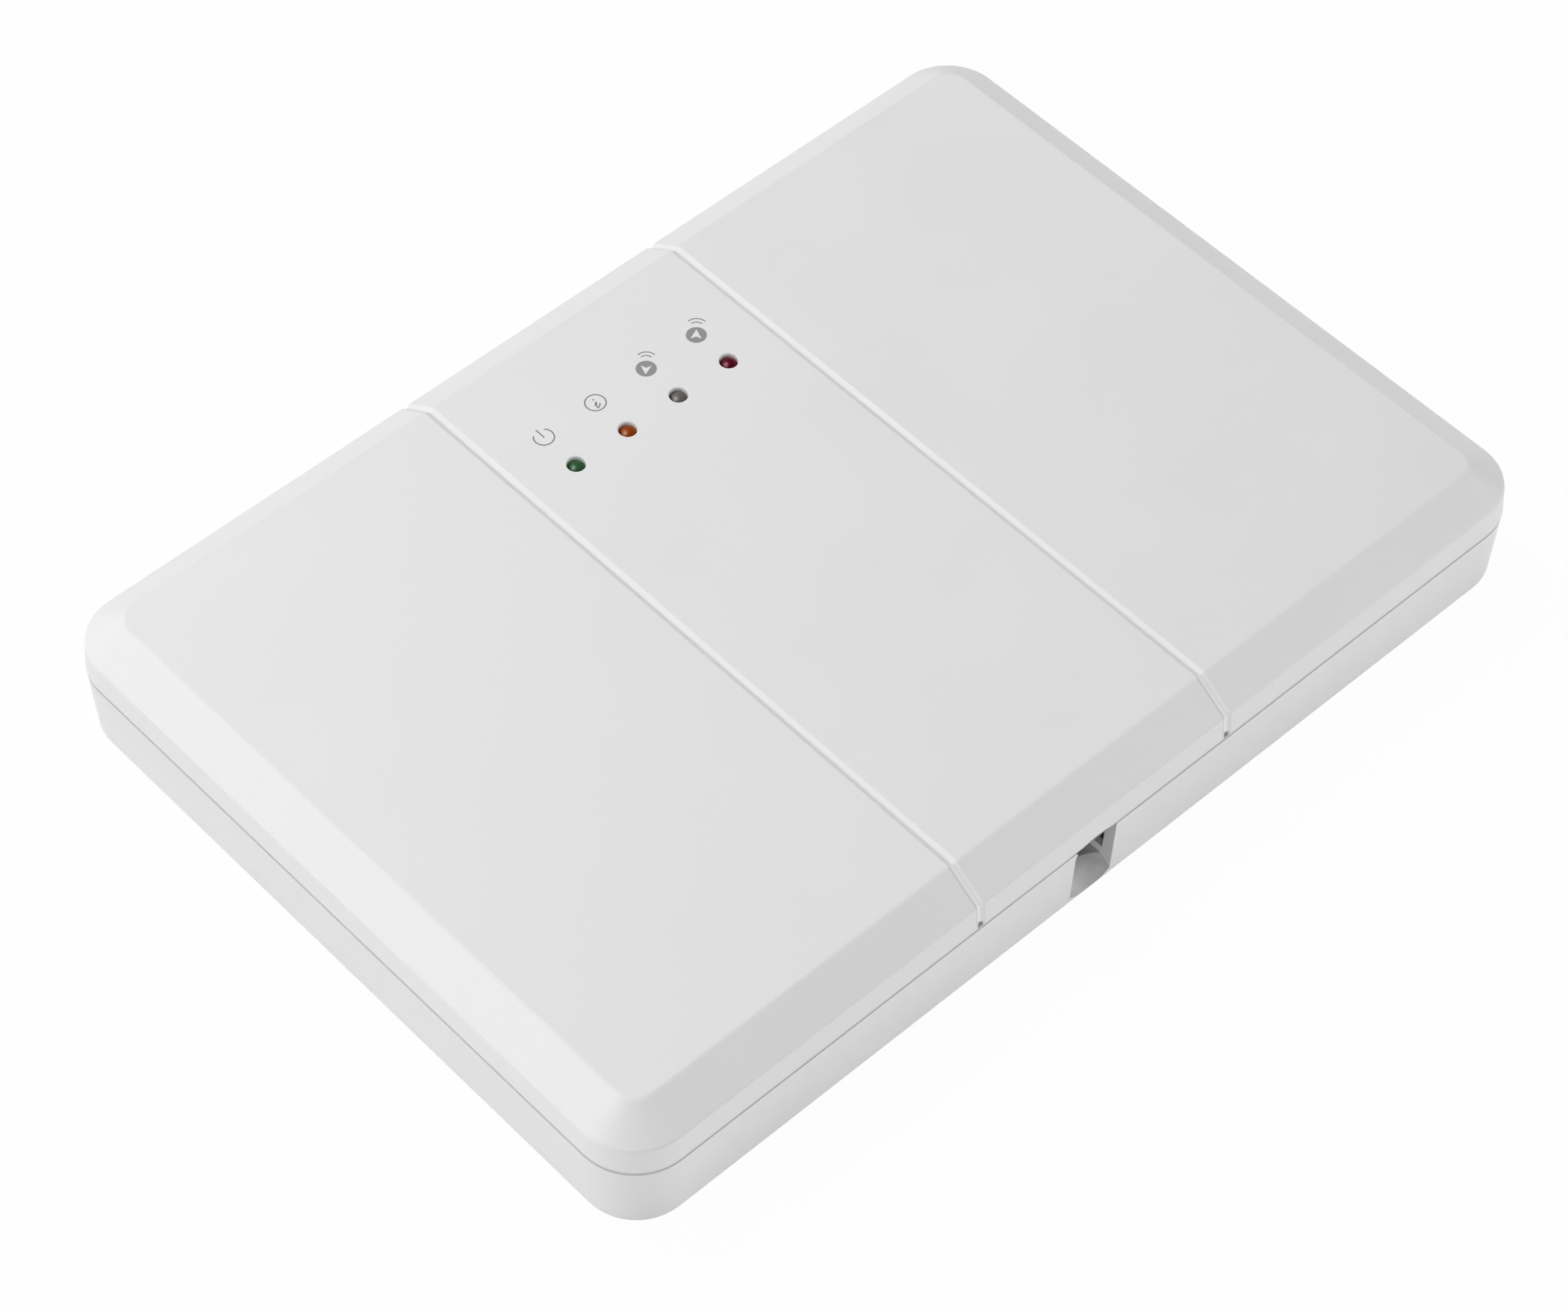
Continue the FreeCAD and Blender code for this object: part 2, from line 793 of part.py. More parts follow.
def radio_board():
    return block(radio_x, radio_y, board_top + radio_lift, radio_l, radio_w, radio_t)


def radio_shield():
    x = radio_x + shield_shift
    can = block(x, radio_y, radio_top, shield_l, shield_w, shield_h)
    can = can.makeFillet(shield_edge_r, edges_at(can, radio_top + shield_h))
    hollow = block(x, radio_y, radio_top, shield_l - 2 * shield_t, shield_w - 2 * shield_t,
                   shield_h - shield_t)
    return can.cut(hollow)


def radio_pins():
    bars = []
    for side in (-1, 1):
        y = radio_y + side * (radio_w / 2 - pin_bar_w)
        bars.append(block(radio_x, y, board_top, radio_pin_count * pin_pitch, pin_bar_w, radio_lift))
    return Part.makeCompound(bars)


def antenna(x, y, direction):
    # a quarter-wave wire: up from the board, round one bend, then level along direction
    r = antenna_bend_r
    foot = vec(x, y, board_top)
    rise = foot + z_dir * (antenna_rise - r)
    turn = rise + direction * r + z_dir * r
    middle = rise + direction * (r - r * math.sqrt(0.5)) + z_dir * (r * math.sqrt(0.5))
    end = turn + direction * (antenna_run - r)
    edges = [Part.makeLine(foot, rise), Part.Arc(rise, middle, turn).toShape(), Part.makeLine(turn, end)]
    return tube_along(edges, antenna_wire_r, foot, z_dir)


def antenna_posts():
    posts = []
    wire_z = board_top + antenna_rise
    for share in post_spots:
        reach = share * antenna_run
        for x, y, along in ((board_left + antenna_top_inset + reach, antenna_top_y, x_dir),
                            (antenna_side_x, board_low_y + antenna_side_inset + reach, y_dir)):
            post = rod(x, y, board_top, post_r, antenna_rise + post_cap)
            start = vec(x, y, wire_z) - along * (2 * post_r)
            tunnel = Part.makeCylinder(antenna_wire_r + post_gap, 4 * post_r, start, along)
            posts.append(post.cut(tunnel))
    return Part.makeCompound(posts)


def dip_key_x(i):
    return switch_x + (i - (dip_count - 1) / 2) * dip_pitch


def dip_body():
    body = block(switch_x, dip_y, board_top, dip_l, dip_w, dip_h)
    top = board_top + dip_h
    for i in range(dip_count):
        slot = block(dip_key_x(i), dip_y, top - dip_slot_d, dip_key + 2 * dip_key_gap,
                     dip_key + dip_travel + 2 * dip_key_gap, dip_slot_d)
        body = body.cut(slot)
    return body


def dip_key_shape(i):
    # at rest each key stands at the lower end of its slot
    low = board_top + dip_h - dip_slot_d
    return block(dip_key_x(i), dip_y - dip_travel / 2, low, dip_key, dip_key, dip_slot_d + dip_key_rise)


def program_switch():
    body = block(switch_x, key_y, board_top, key_body, key_body, key_body_h)
    hole = rod(switch_x, key_y, board_top + key_body_h / 2, key_stem_r + key_gap, key_body_h)
    return body.cut(hole)


def program_cap():
    top = board_top + key_body_h
    stem_low = board_top + key_body_h / 2 + key_travel
    stem = rod(switch_x, key_y, stem_low, key_stem_r, top - stem_low + key_travel + key_gap)
    cap = rod(switch_x, key_y, top + key_travel + key_gap, key_cap_r, key_cap_h)
    cap = cap.makeFillet(key_cap_edge_r, edges_at(cap, top + key_travel + key_gap + key_cap_h))
    return stem.fuse(cap)


def tamper_switch():
    body = block(switch_x, tamper_y, board_top, tamper_l, tamper_w, tamper_h)
    upright = [e for e in body.Edges if e.BoundBox.ZLength > tamper_h / 2]
    body = body.makeFillet(tamper_edge_r, upright)
    depth = tamper_h / 2
    return body.cut(rod(switch_x, tamper_y, board_top + tamper_h - depth, tamper_stem_r + key_gap, depth))


def tamper_plunger():
    low = board_top + tamper_h / 2 + tamper_travel
    stem = rod(switch_x, tamper_y, low, tamper_stem_r, tamper_top - low)
    return stem.makeFillet(tamper_stem_edge_r, edges_at(stem, tamper_top))


def controller_chip():
    lift = lead_t
    body = block(controller_x, controller_y, board_top + lift, controller_l, controller_l, controller_h)
    shapes = []
    for i in range(lead_count):
        t = (i - (lead_count - 1) / 2) * lead_pitch
        out = controller_l / 2 + lead_reach / 2
        for sx, sy in ((1, 0), (-1, 0), (0, 1), (0, -1)):
            x = controller_x + sx * out + abs(sy) * t
            y = controller_y + sy * out + abs(sx) * t
            size_x = lead_reach if sx else lead_w
            size_y = lead_reach if sy else lead_w
            shapes.append(block(x, y, board_top, size_x, size_y, 2 * lead_t))
    return body.fuse(shapes)


def logic_chips():
    chips = []
    for x, y in chip_spots:
        chip = Part.makeLoft([
            rounded_wire(chip_l / 2, chip_w / 2, chip_corner_r, board_top),
            rounded_wire(chip_l / 2 - chip_draft, chip_w / 2 - chip_draft, chip_corner_r, board_top + chip_h),
        ], True, True)
        chip.translate(vec(x, y, 0))
        chips.append(chip)
    return Part.makeCompound(chips)


def capacitor(x, y):
    foot = block(x, y, board_top, 2 * can_r + can_neck, 2 * can_r + can_neck, can_base_h)
    upright = [e for e in foot.Edges if e.BoundBox.ZLength > can_base_h / 2]
    foot = foot.makeChamfer(can_base_cut, upright[:2])
    can = rod(x, y, board_top + can_base_h, can_r, can_h)
    can = can.makeFillet(can_edge_r, edges_at(can, board_top + can_base_h + can_h))
    return foot, can


def capacitors():
    return Part.makeCompound([capacitor(x, y)[1] for x, y in can_spots])


def capacitor_feet():
    return Part.makeCompound([capacitor(x, y)[0] for x, y in can_spots])


def choke():
    drum = rod(choke_x, choke_y, board_top, choke_r, choke_flange)
    drum = drum.fuse(rod(choke_x, choke_y, board_top, choke_r - choke_groove, choke_h))
    return drum.fuse(rod(choke_x, choke_y, board_top + choke_h - choke_flange, choke_r, choke_flange))


def regulator():
    body = block(regulator_x, regulator_y, board_top, regulator_l, regulator_w, regulator_h)
    tab = block(regulator_x, regulator_y + regulator_w / 2 + regulator_tab / 2, board_top,
                regulator_tab_w, regulator_tab, regulator_tab_t)
    legs = [block(regulator_x + s * regulator_l / 3, regulator_y - regulator_w / 2 - regulator_tab / 2,
                  board_top, regulator_tab_t, regulator_tab, regulator_tab_t) for s in (-1, 1)]
    return body.fuse([tab] + legs)


def crystal():
    end_r = (crystal_w - crystal_end_flat) / 2
    can = rounded_slab(crystal_l / 2, crystal_w / 2, end_r, board_top, board_top + crystal_h,
                       crystal_x, crystal_y)
    return can.makeFillet(crystal_edge_r, edges_at(can, board_top + crystal_h))


def fuse_tube():
    r = fuse_r - clip_gap
    tube = rod(fuse_x - fuse_l / 2 + fuse_cap_l, fuse_y, fuse_z, r, fuse_l - 2 * fuse_cap_l, x_dir)
    return tube.cut(rod(fuse_x - fuse_l / 2, fuse_y, fuse_z, r - fuse_glass_t, fuse_l, x_dir))


def fuse_caps():
    caps = []
    for x in (fuse_x - fuse_l / 2, fuse_x + fuse_l / 2 - fuse_cap_l):
        caps.append(rod(x, fuse_y, fuse_z, fuse_r, fuse_cap_l, x_dir))
    return Part.makeCompound(caps)


def fuse_clips():
    # a U of sheet metal under each end cap
    clips = []
    r = fuse_r + clip_gap
    for s in (-1, 1):
        x = fuse_x + s * (fuse_l / 2 - fuse_cap_l / 2)
        outer = rod(x - clip_w / 2, fuse_y, fuse_z, r + clip_t, clip_w, x_dir)
        outer = outer.cut(rod(x - clip_w, fuse_y, fuse_z, r, 2 * clip_w, x_dir))
        outer = outer.cut(box(x - clip_w, x + clip_w, fuse_y - 2 * r, fuse_y + 2 * r,
                              fuse_z + r / 2, fuse_z + 2 * r))
        foot = box(x - clip_w / 2, x + clip_w / 2, fuse_y - clip_t * 2, fuse_y + clip_t * 2,
                   board_top, fuse_z - r - clip_t / 2)
        clips.append(outer.fuse(foot))
    return Part.makeCompound(clips)


def jumper_places():
    return [jumper_x + (i - (jumper_pins - 1) / 2) * pin_pitch for i in range(jumper_pins)]


def jumper_header():
    bar = block(jumper_x, jumper_y, board_top, jumper_pins * pin_pitch, pin_bar_w, jumper_bar_h)
    pins = [block(x, jumper_y, board_top + jumper_bar_h, pin_w, pin_w, jumper_pin_h)
            for x in jumper_places()]
    return bar.fuse(pins)


def jumper_link():
    left = jumper_places()[0]
    x = left + pin_pitch / 2
    low = board_top + jumper_bar_h + link_gap
    link = block(x, jumper_y, low, 2 * pin_pitch - 2 * link_gap, link_w, link_h)
    for pin_x in (left, left + pin_pitch):
        link = link.cut(block(pin_x, jumper_y, low, pin_w + 2 * link_gap, pin_w + 2 * link_gap, jumper_pin_h))
    return link


def battery_socket():
    body = block(socket_x, lead_y, board_top, socket_l, socket_w, socket_h)
    x0 = socket_x - socket_l / 2
    mouth = box(x0, x0 + socket_mouth_d, lead_y - plug_w / 2 - link_gap, lead_y + plug_w / 2 + link_gap,
                lead_z - plug_h / 2 - link_gap, board_top + socket_h)
    return body.cut(mouth)


def battery_plug():
    return box(plug_x, plug_x + plug_l, lead_y - plug_w / 2, lead_y + plug_w / 2,
               lead_z - plug_h / 2, lead_z + plug_h / 2)


def battery_lead(side):
    # out of the pack's upper edge, round one bend and into the plug
    z = lead_z
    x = pack_x + pack_half_x / 2 - side * wire_pitch / 2
    y = lead_y + side * wire_pitch / 2
    r = wire_bend_r + side * wire_pitch / 2
    start = vec(x, pack_y + pack_half_y, z)
    bend_start = vec(x, y - r, z)
    bend_end = vec(x + r, y, z)
    d = r * (1 - math.sqrt(0.5))
    middle = vec(x + d, y - d, z)
    end = vec(plug_x, y, z)
    edges = [
        Part.makeLine(start, bend_start),
        Part.Arc(bend_start, middle, bend_end).toShape(),
        Part.makeLine(bend_end, end),
    ]
    return tube_along(edges, wire_r, start, y_dir)


pieces = {
    "base": base(),
    "front_cover": front_cover(),
    "main_board": main_board(),
    "board_screws": screws_at(board_holes(), board_top, screw_reach - thread_clear),
    "radio_board": radio_board(),
    "radio_shield": radio_shield(),
    "radio_pins": radio_pins(),
    "antenna_top": antenna(board_left + antenna_top_inset, antenna_top_y, x_dir),
    "antenna_side": antenna(antenna_side_x, board_low_y + antenna_side_inset, y_dir),
    "antenna_posts": antenna_posts(),
    "lamp_spacers": lamp_spacers(),
    "terminal_block": terminal_block(),
    "terminal_screws": terminal_screws(),
    "dip_body": dip_body(),
    "program_switch": program_switch(),
    "program_cap": program_cap(),
    "tamper_switch": tamper_switch(),
    "tamper_plunger": tamper_plunger(),
    "controller_chip": controller_chip(),
    "logic_chips": logic_chips(),
    "capacitors": capacitors(),
    "capacitor_feet": capacitor_feet(),
    "choke": choke(),
    "regulator": regulator(),
    "crystal": crystal(),
    "fuse_tube": fuse_tube(),
    "fuse_caps": fuse_caps(),
    "fuse_clips": fuse_clips(),
    "jumper_header": jumper_header(),
    "jumper_link": jumper_link(),
    "battery_cells": battery_cells(),
    "battery_sleeve": battery_sleeve(),
    "battery_strap": battery_strap(),
    "strap_screws": screws_at(strap_places(), floor_t + strap_post_h + strap_t, strap_post_h + strap_t),
    "battery_socket": battery_socket(),
    "battery_plug": battery_plug(),
    "battery_lead_red": battery_lead(1),
    "battery_lead_black": battery_lead(-1),
}
for lamp_name, lamp_x in zip(("green", "orange", "clear", "red"), lamp_places()):
    pieces["lamp_" + lamp_name] = lamp(lamp_x)
for key_index in range(dip_count):
    pieces["dip_key_%d" % (key_index + 1)] = dip_key_shape(key_index)

for node, shape in pieces.items():
    shape.exportStep("parts/%s.step" % node)
    size = shape.BoundBox
    print("%-20s solids %2d valid %s volume %9.2f  %.1f x %.1f x %.1f" % (
        node, len(shape.Solids), shape.isValid(), shape.Volume, size.XLength, size.YLength, size.ZLength))
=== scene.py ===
import bpy
import bmesh
import math
from mathutils import Matrix, Vector
from mathutils.geometry import tessellate_polygon


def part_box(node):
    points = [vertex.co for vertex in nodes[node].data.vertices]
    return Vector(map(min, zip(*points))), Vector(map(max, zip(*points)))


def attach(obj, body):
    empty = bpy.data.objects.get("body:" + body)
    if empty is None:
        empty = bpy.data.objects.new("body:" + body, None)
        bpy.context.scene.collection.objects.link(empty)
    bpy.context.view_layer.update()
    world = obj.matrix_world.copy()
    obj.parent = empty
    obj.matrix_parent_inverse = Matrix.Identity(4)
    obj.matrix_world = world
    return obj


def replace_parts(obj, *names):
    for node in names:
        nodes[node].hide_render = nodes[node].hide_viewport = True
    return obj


# The looks of a wireless signal repeater, in millimetres unless a name says otherwise.
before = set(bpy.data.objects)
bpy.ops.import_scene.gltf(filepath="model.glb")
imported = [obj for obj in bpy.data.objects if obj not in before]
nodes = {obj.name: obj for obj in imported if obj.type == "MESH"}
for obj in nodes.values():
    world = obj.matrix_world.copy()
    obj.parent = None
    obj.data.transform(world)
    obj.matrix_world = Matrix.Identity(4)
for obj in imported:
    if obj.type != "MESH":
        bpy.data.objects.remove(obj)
scene = bpy.context.scene
mm = 0.001
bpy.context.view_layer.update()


def boxOf(node):
    # a node's lowest corner, highest corner and middle
    low, high = (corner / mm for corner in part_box(node))
    return low, high, (low + high) / 2


def newObject(name, data):
    made = bpy.data.objects.new(name, data)
    scene.collection.objects.link(made)
    return made


def place(name, mesh, body="housing"):
    piece = newObject(name, mesh)
    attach(piece, body)
    return piece


def meshFrom(name, build, material=None, smooth=False):
    # build(bm) fills a bmesh with faces that point outwards
    bm = bmesh.new()
    build(bm)
    mesh = bpy.data.meshes.new(name)
    bm.to_mesh(mesh)
    bm.free()
    shade(mesh, smooth)
    if material:
        mesh.materials.append(material)
    return mesh


def shade(mesh, smooth):
    for polygon in mesh.polygons:
        polygon.use_smooth = smooth


def makePiece(name, build, look, body="housing", smooth=False):
    return place(name, meshFrom(name, build, looks[look], smooth), body)


# the camera, fitted to the photograph
cameraView = {
    "azimuth": -43.46,
    "elevation": 51.74,
    "roll": -0.93,
    "place": (-0.32576, -0.33898, 0.59044),  # metres
    "lens": 103.99,
    "sensor": 36.0,
    "clip": (0.01, 20.0),
}


def direction(azimuth, elevation):
    # azimuth 0 is in front of the lower long side, 90 is to the right
    a, e = math.radians(azimuth), math.radians(elevation)
    return Vector((math.sin(a) * math.cos(e), -math.cos(a) * math.cos(e), math.sin(e)))


def makeCamera(view):
    back = direction(view["azimuth"], view["elevation"])
    right = Vector((0, 0, 1)).cross(back).normalized()
    turn = Matrix((right, back.cross(right), back)).transposed().to_4x4()
    data = bpy.data.cameras.new("camera")
    data.lens = view["lens"]
    data.sensor_width = view["sensor"]
    data.clip_start, data.clip_end = view["clip"]
    camera = newObject("camera", data)
    roll = Matrix.Rotation(-math.radians(view["roll"]), 4, "Z")
    camera.matrix_world = Matrix.Translation(view["place"]) @ turn @ roll
    scene.camera = camera


makeCamera(cameraView)
scene.view_settings.view_transform = "Standard"
print("camera: set")


# node helpers: the tree is always the one that a socket belongs to
def feed(value, socket):
    # joins a socket to an input, or sets the input to a plain value
    if isinstance(value, bpy.types.NodeSocket):
        socket.id_data.links.new(value, socket)
    else:
        socket.default_value = value


def addNode(tree, kind, inputs=None, **settings):
    node = tree.nodes.new(kind)
    for key, value in settings.items():
        setattr(node, key, value)
    for key, value in (inputs or {}).items():
        feed(value, node.inputs[key])
    return node


def result(tree, kind, inputs=None, **settings):
    return addNode(tree, kind, inputs, **settings).outputs[0]


def treeOf(*values):
    return next(v.id_data for v in values if isinstance(v, bpy.types.NodeSocket))


def maths(operation, *values):
    return result(treeOf(*values), "ShaderNodeMath", dict(enumerate(values)), operation=operation)


def plus(a, b):
    return maths("ADD", a, b)


def minus(a, b):
    return maths("SUBTRACT", a, b)


def times(a, b):
    return maths("MULTIPLY", a, b)


def scaled(vector, by):
    return result(vector.id_data, "ShaderNodeVectorMath", {0: vector, 1: by}, operation="MULTIPLY")


def ramp(value, low, high, toLow=0.0, toHigh=1.0):
    node = addNode(value.id_data, "ShaderNodeMapRange", {
        "Value": value, "From Min": low, "From Max": high, "To Min": toLow, "To Max": toHigh},
        interpolation_type="SMOOTHSTEP")
    return node.outputs["Result"]


def noise(coords, scale, detail=2.0, rough=0.5):
    node = addNode(coords.id_data, "ShaderNodeTexNoise", {
        "Vector": coords, "Scale": scale, "Detail": detail, "Roughness": rough})
    return node.outputs["Fac"]


def mixColour(share, a, b, blend="MIX"):
    values = {0: share, 6: a, 7: b}
    return addNode(treeOf(share, a, b), "ShaderNodeMix", values, data_type="RGBA", blend_type=blend).outputs[2]


def split(coords):
    return addNode(coords.id_data, "ShaderNodeSeparateXYZ", {0: coords}).outputs


def socketKind(value):
    # colours have four numbers and vectors three; a word names the kind itself
    if isinstance(value, str):
        return "NodeSocket" + value
    if isinstance(value, tuple):
        return "NodeSocketColor" if len(value) == 4 else "NodeSocketVector"
    return "NodeSocketInt" if isinstance(value, int) else "NodeSocketFloat"


def newTree(kind, name, ins, outs):
    tree = bpy.data.node_groups.new(name, kind)
    for way, sockets in (("INPUT", ins), ("OUTPUT", outs)):
        for label, value in sockets.items():
            socket = tree.interface.new_socket(name=label, in_out=way, socket_type=socketKind(value))
            if way == "INPUT" and not isinstance(value, str):
                socket.default_value = value
    return tree, tree.nodes.new("NodeGroupInput").outputs, tree.nodes.new("NodeGroupOutput").inputs


def freshTree(owner):
    owner.use_nodes = True
    owner.node_tree.nodes.clear()
    return owner.node_tree


def mixShader(share, a, b):
    return result(a.id_data, "ShaderNodeMixShader", {0: share, 1: a, 2: b})


# floor, white surroundings and four softboxes
studio = {
    "floorSize": 12.0,  # metres
    "floorZ": -0.05,  # just under the rear face
    "floorColour": (0.82, 0.82, 0.82, 1),
    "seenWhite": 0.97,  # how much of the floor's white the camera sees as plain white
    "world": 0.1,
    "aim": (0, 0, 0.01),
    "boxDistance": 1.6,
    "boxSize": 1.0,
    "softboxes": {  # azimuth, elevation and power in watts
        "frontLow": (45, 6, 17.53),
        "frontLeft": (-45, 20, 6.43),
        "leftFill": (-110, 30, 9.5),
        "backKey": (-176, 52, 17.7),
    },
}


def stageMaterial(name, colour, seenWhite):
    material = bpy.data.materials.new(name)
    tree = freshTree(material)
    path = addNode(tree, "ShaderNodeLightPath").outputs
    seen = maths("MAXIMUM", path["Is Camera Ray"], path["Is Glossy Ray"])
    seen = times(maths("MAXIMUM", seen, path["Is Transmission Ray"]), seenWhite)
    diffuse = result(tree, "ShaderNodeBsdfDiffuse", {"Color": colour})
    white = result(tree, "ShaderNodeEmission", {"Color": (1, 1, 1, 1)})
    # seen from below the floor is clear, so that the rear can be looked at
    below = addNode(tree, "ShaderNodeNewGeometry").outputs["Backfacing"]
    clear = result(tree, "ShaderNodeBsdfTransparent")
    surface = mixShader(below, mixShader(seen, diffuse, white), clear)
    addNode(tree, "ShaderNodeOutputMaterial", {"Surface": surface})
    return material


def makeStudio(spec):
    half, z = spec["floorSize"] / 2 / mm, spec["floorZ"]

    def floorFace(bm):
        bm.faces.new(verts(bm, [(-half, -half, z), (half, -half, z), (half, half, z), (-half, half, z)]))

    material = stageMaterial("paleFloor", spec["floorColour"], spec["seenWhite"])
    newObject("studioFloor", meshFrom("studioFloor", floorFace, material))
    for name, (azimuth, elevation, power) in spec["softboxes"].items():
        light = bpy.data.lights.new(name, "AREA")
        light.shape = "SQUARE"
        light.size = spec["boxSize"]
        light.energy = power
        towards = direction(azimuth, elevation)
        lamp = newObject(name, light)
        lamp.location = Vector(spec["aim"]) + towards * spec["boxDistance"]
        lamp.rotation_euler = towards.to_track_quat("Z", "Y").to_euler()
    world = bpy.data.worlds.new("studioWorld")
    tree = freshTree(world)
    lit = addNode(tree, "ShaderNodeBackground", {"Strength": spec["world"]}, name="worldLight").outputs[0]
    seen = result(tree, "ShaderNodeBackground", {"Strength": 1.0})
    camera = addNode(tree, "ShaderNodeLightPath").outputs["Is Camera Ray"]
    addNode(tree, "ShaderNodeOutputWorld", {"Surface": mixShader(camera, lit, seen)})
    scene.world = world


# solid building blocks for bmesh
def verts(bm, points):
    return [bm.verts.new([v * mm for v in point]) for point in points]


def skin(bm, low, high):
    # faces between two closed rows of vertices; a row of one vertex is a pole
    count = max(len(low), len(high))
    for i in range(count):
        j = (i + 1) % count
        if len(low) == 1:
            bm.faces.new((low[0], high[j], high[i]))
        elif len(high) == 1:
            bm.faces.new((low[i], low[j], high[0]))
        else:
            bm.faces.new((low[i], low[j], high[j], high[i]))


def addBox(bm, x0, x1, y0, y1, z0, z1, bevel=0.0):
    (x0, x1), (y0, y1), (z0, z1) = sorted((x0, x1)), sorted((y0, y1)), sorted((z0, z1))
    made = bmesh.ops.create_cube(bm, size=1.0)["verts"]
    for v in made:
        v.co = Vector(((x0 + x1) / 2 + v.co.x * (x1 - x0), (y0 + y1) / 2 + v.co.y * (y1 - y0),
                       (z0 + z1) / 2 + v.co.z * (z1 - z0))) * mm
    if bevel:
        edges = list({e for v in made for e in v.link_edges})
        bmesh.ops.bevel(bm, geom=edges, offset=bevel * mm, segments=2, profile=0.5, affect="EDGES")


def addLathe(bm, profile, segments=32, centre=(0, 0, 0), ring=False):
    # profile: (radius, height) from the bottom up; a radius of 0 closes an end, ring joins the last to the first
    x, y, z = centre
    rows = []
    for radius, height in profile:
        turns = [2 * math.pi * i / segments for i in range(segments if radius > 0 else 1)]
        rows.append(verts(bm, [(x + radius * math.cos(a), y + radius * math.sin(a), z + height) for a in turns]))
    for low, high in zip(rows, rows[1:] + (rows[:1] if ring else [])):
        skin(bm, low, high)


def addStack(bm, rings):
    # a solid through rings of points from the lowest up, each counter-clockwise seen from above
    rows = [verts(bm, ring) for ring in rings]
    bm.faces.new(rows[0][::-1])
    bm.faces.new(rows[-1])
    for low, high in zip(rows, rows[1:]):
        skin(bm, low, high)


def addPlate(bm, points, z, thick=0.02):
    addStack(bm, [[(x, y, level) for x, y in points] for level in (z, z + thick)])


def addSheet(bm, tops, lows, closed=False):
    # a slab between two grids of points, rows along it and columns across; closed joins the last row to the first
    top, low = ([verts(bm, row) for row in grid] for grid in (tops, lows))
    end = len(top[0]) - 1
    steps = [(i, i + 1) for i in range(len(top) - 1)] + ([(len(top) - 1, 0)] if closed else [])
    for i, k in steps:
        for j in range(end):
            bm.faces.new((top[i][j], top[i][j + 1], top[k][j + 1], top[k][j]))
            bm.faces.new((low[i][j], low[k][j], low[k][j + 1], low[i][j + 1]))
        bm.faces.new((top[i][0], top[k][0], low[k][0], low[i][0]))
        bm.faces.new((top[k][end], top[i][end], low[i][end], low[k][end]))
    for j in range(0 if closed else end):
        bm.faces.new((top[0][j + 1], top[0][j], low[0][j], low[0][j + 1]))
        bm.faces.new((top[-1][j], top[-1][j + 1], low[-1][j + 1], low[-1][j]))


def addStroke(bm, points, width, z, thick=0.02, closed=False):
    # a flat line of even width through the points
    last = len(points) - 1
    sides = []
    for i, p in enumerate(points):
        here = Vector(p)
        before = here - Vector(points[i - 1]) if (i or closed) else None
        after = Vector(points[0 if i == last else i + 1]) - here if (i < last or closed) else before
        a = (before or after).normalized()
        along = (a + after.normalized()).normalized()
        side = Vector((-along.y, along.x)) * (width / 2 / max(0.5, along.dot(a)))
        sides.append((here + side, here - side))
    addSheet(bm, *([[(p.x, p.y, level) for p in row] for row in sides] for level in (z + thick, z)), closed)


def arcPoints(cx, cy, radius, first, last, steps):
    turns = [math.radians(first + (last - first) * i / steps) for i in range(steps + 1)]
    return [(cx + radius * math.cos(a), cy + radius * math.sin(a)) for a in turns]


def circle(cx, cy, radius, count):
    return arcPoints(cx, cy, radius, 0, 360 * (count - 1) / count, count - 1)


def addLeg(bm, x, y, way, parts, z=0, sideways=False):
    # parts: half width, from here to here outwards, lower face, upper face and bevel
    for half, near, far, low, high, bevel in parts:
        across, out = (-half, half), (way * near, way * far)
        (x0, x1), (y0, y1) = (out, across) if sideways else (across, out)
        addBox(bm, x + x0, x + x1, y + y0, y + y1, z + low, z + high, bevel)


makeStudio(studio)
print("studio: floor, four softboxes and world set")


# shader groups that the finishes share
finishOuts = {"Colour": "Color", "Roughness": "Float", "Height": "Float"}


def makeGrainGroup():
    # fine spark-eroded mould texture, with slow unevenness and a few specks of dust
    group, start, end = newTree("ShaderNodeTree", "mouldGrain", {
        "Coords": (0, 0, 0), "Base": (0.8, 0.8, 0.8, 1), "Grain Scale": 3200.0, "Grain Tone": 0.02,
        "Gloss Low": 0.42, "Gloss High": 0.55, "Dust": 0.5, "Dust Colour": (0.35, 0.34, 0.32, 1)}, finishOuts)
    coords = start["Coords"]
    fine = noise(coords, start["Grain Scale"], 2.0, 0.6)
    slow = noise(coords, 38.0)
    tone = times(minus(fine, 0.5), start["Grain Tone"])
    grey = plus(plus(tone, times(minus(slow, 0.5), 0.03)), 1.0)
    grey = result(group, "ShaderNodeCombineColor", {0: grey, 1: grey, 2: grey})
    toned = mixColour(1.0, start["Base"], grey, "MULTIPLY")
    cells = addNode(group, "ShaderNodeTexVoronoi", {"Vector": coords, "Scale": 95.0}, feature="F1").outputs
    chance = result(group, "ShaderNodeSeparateColor", {0: cells["Color"]})
    near = ramp(cells["Distance"], 0.006, 0.016, 1.0, 0.0)
    speck = times(times(near, maths("GREATER_THAN", chance, 0.80)), start["Dust"])
    feed(mixColour(speck, toned, start["Dust Colour"]), end["Colour"])
    feed(ramp(slow, 0.3, 0.7, start["Gloss Low"], start["Gloss High"]), end["Roughness"])
    feed(plus(fine, times(speck, 2.0)), end["Height"])
    return group


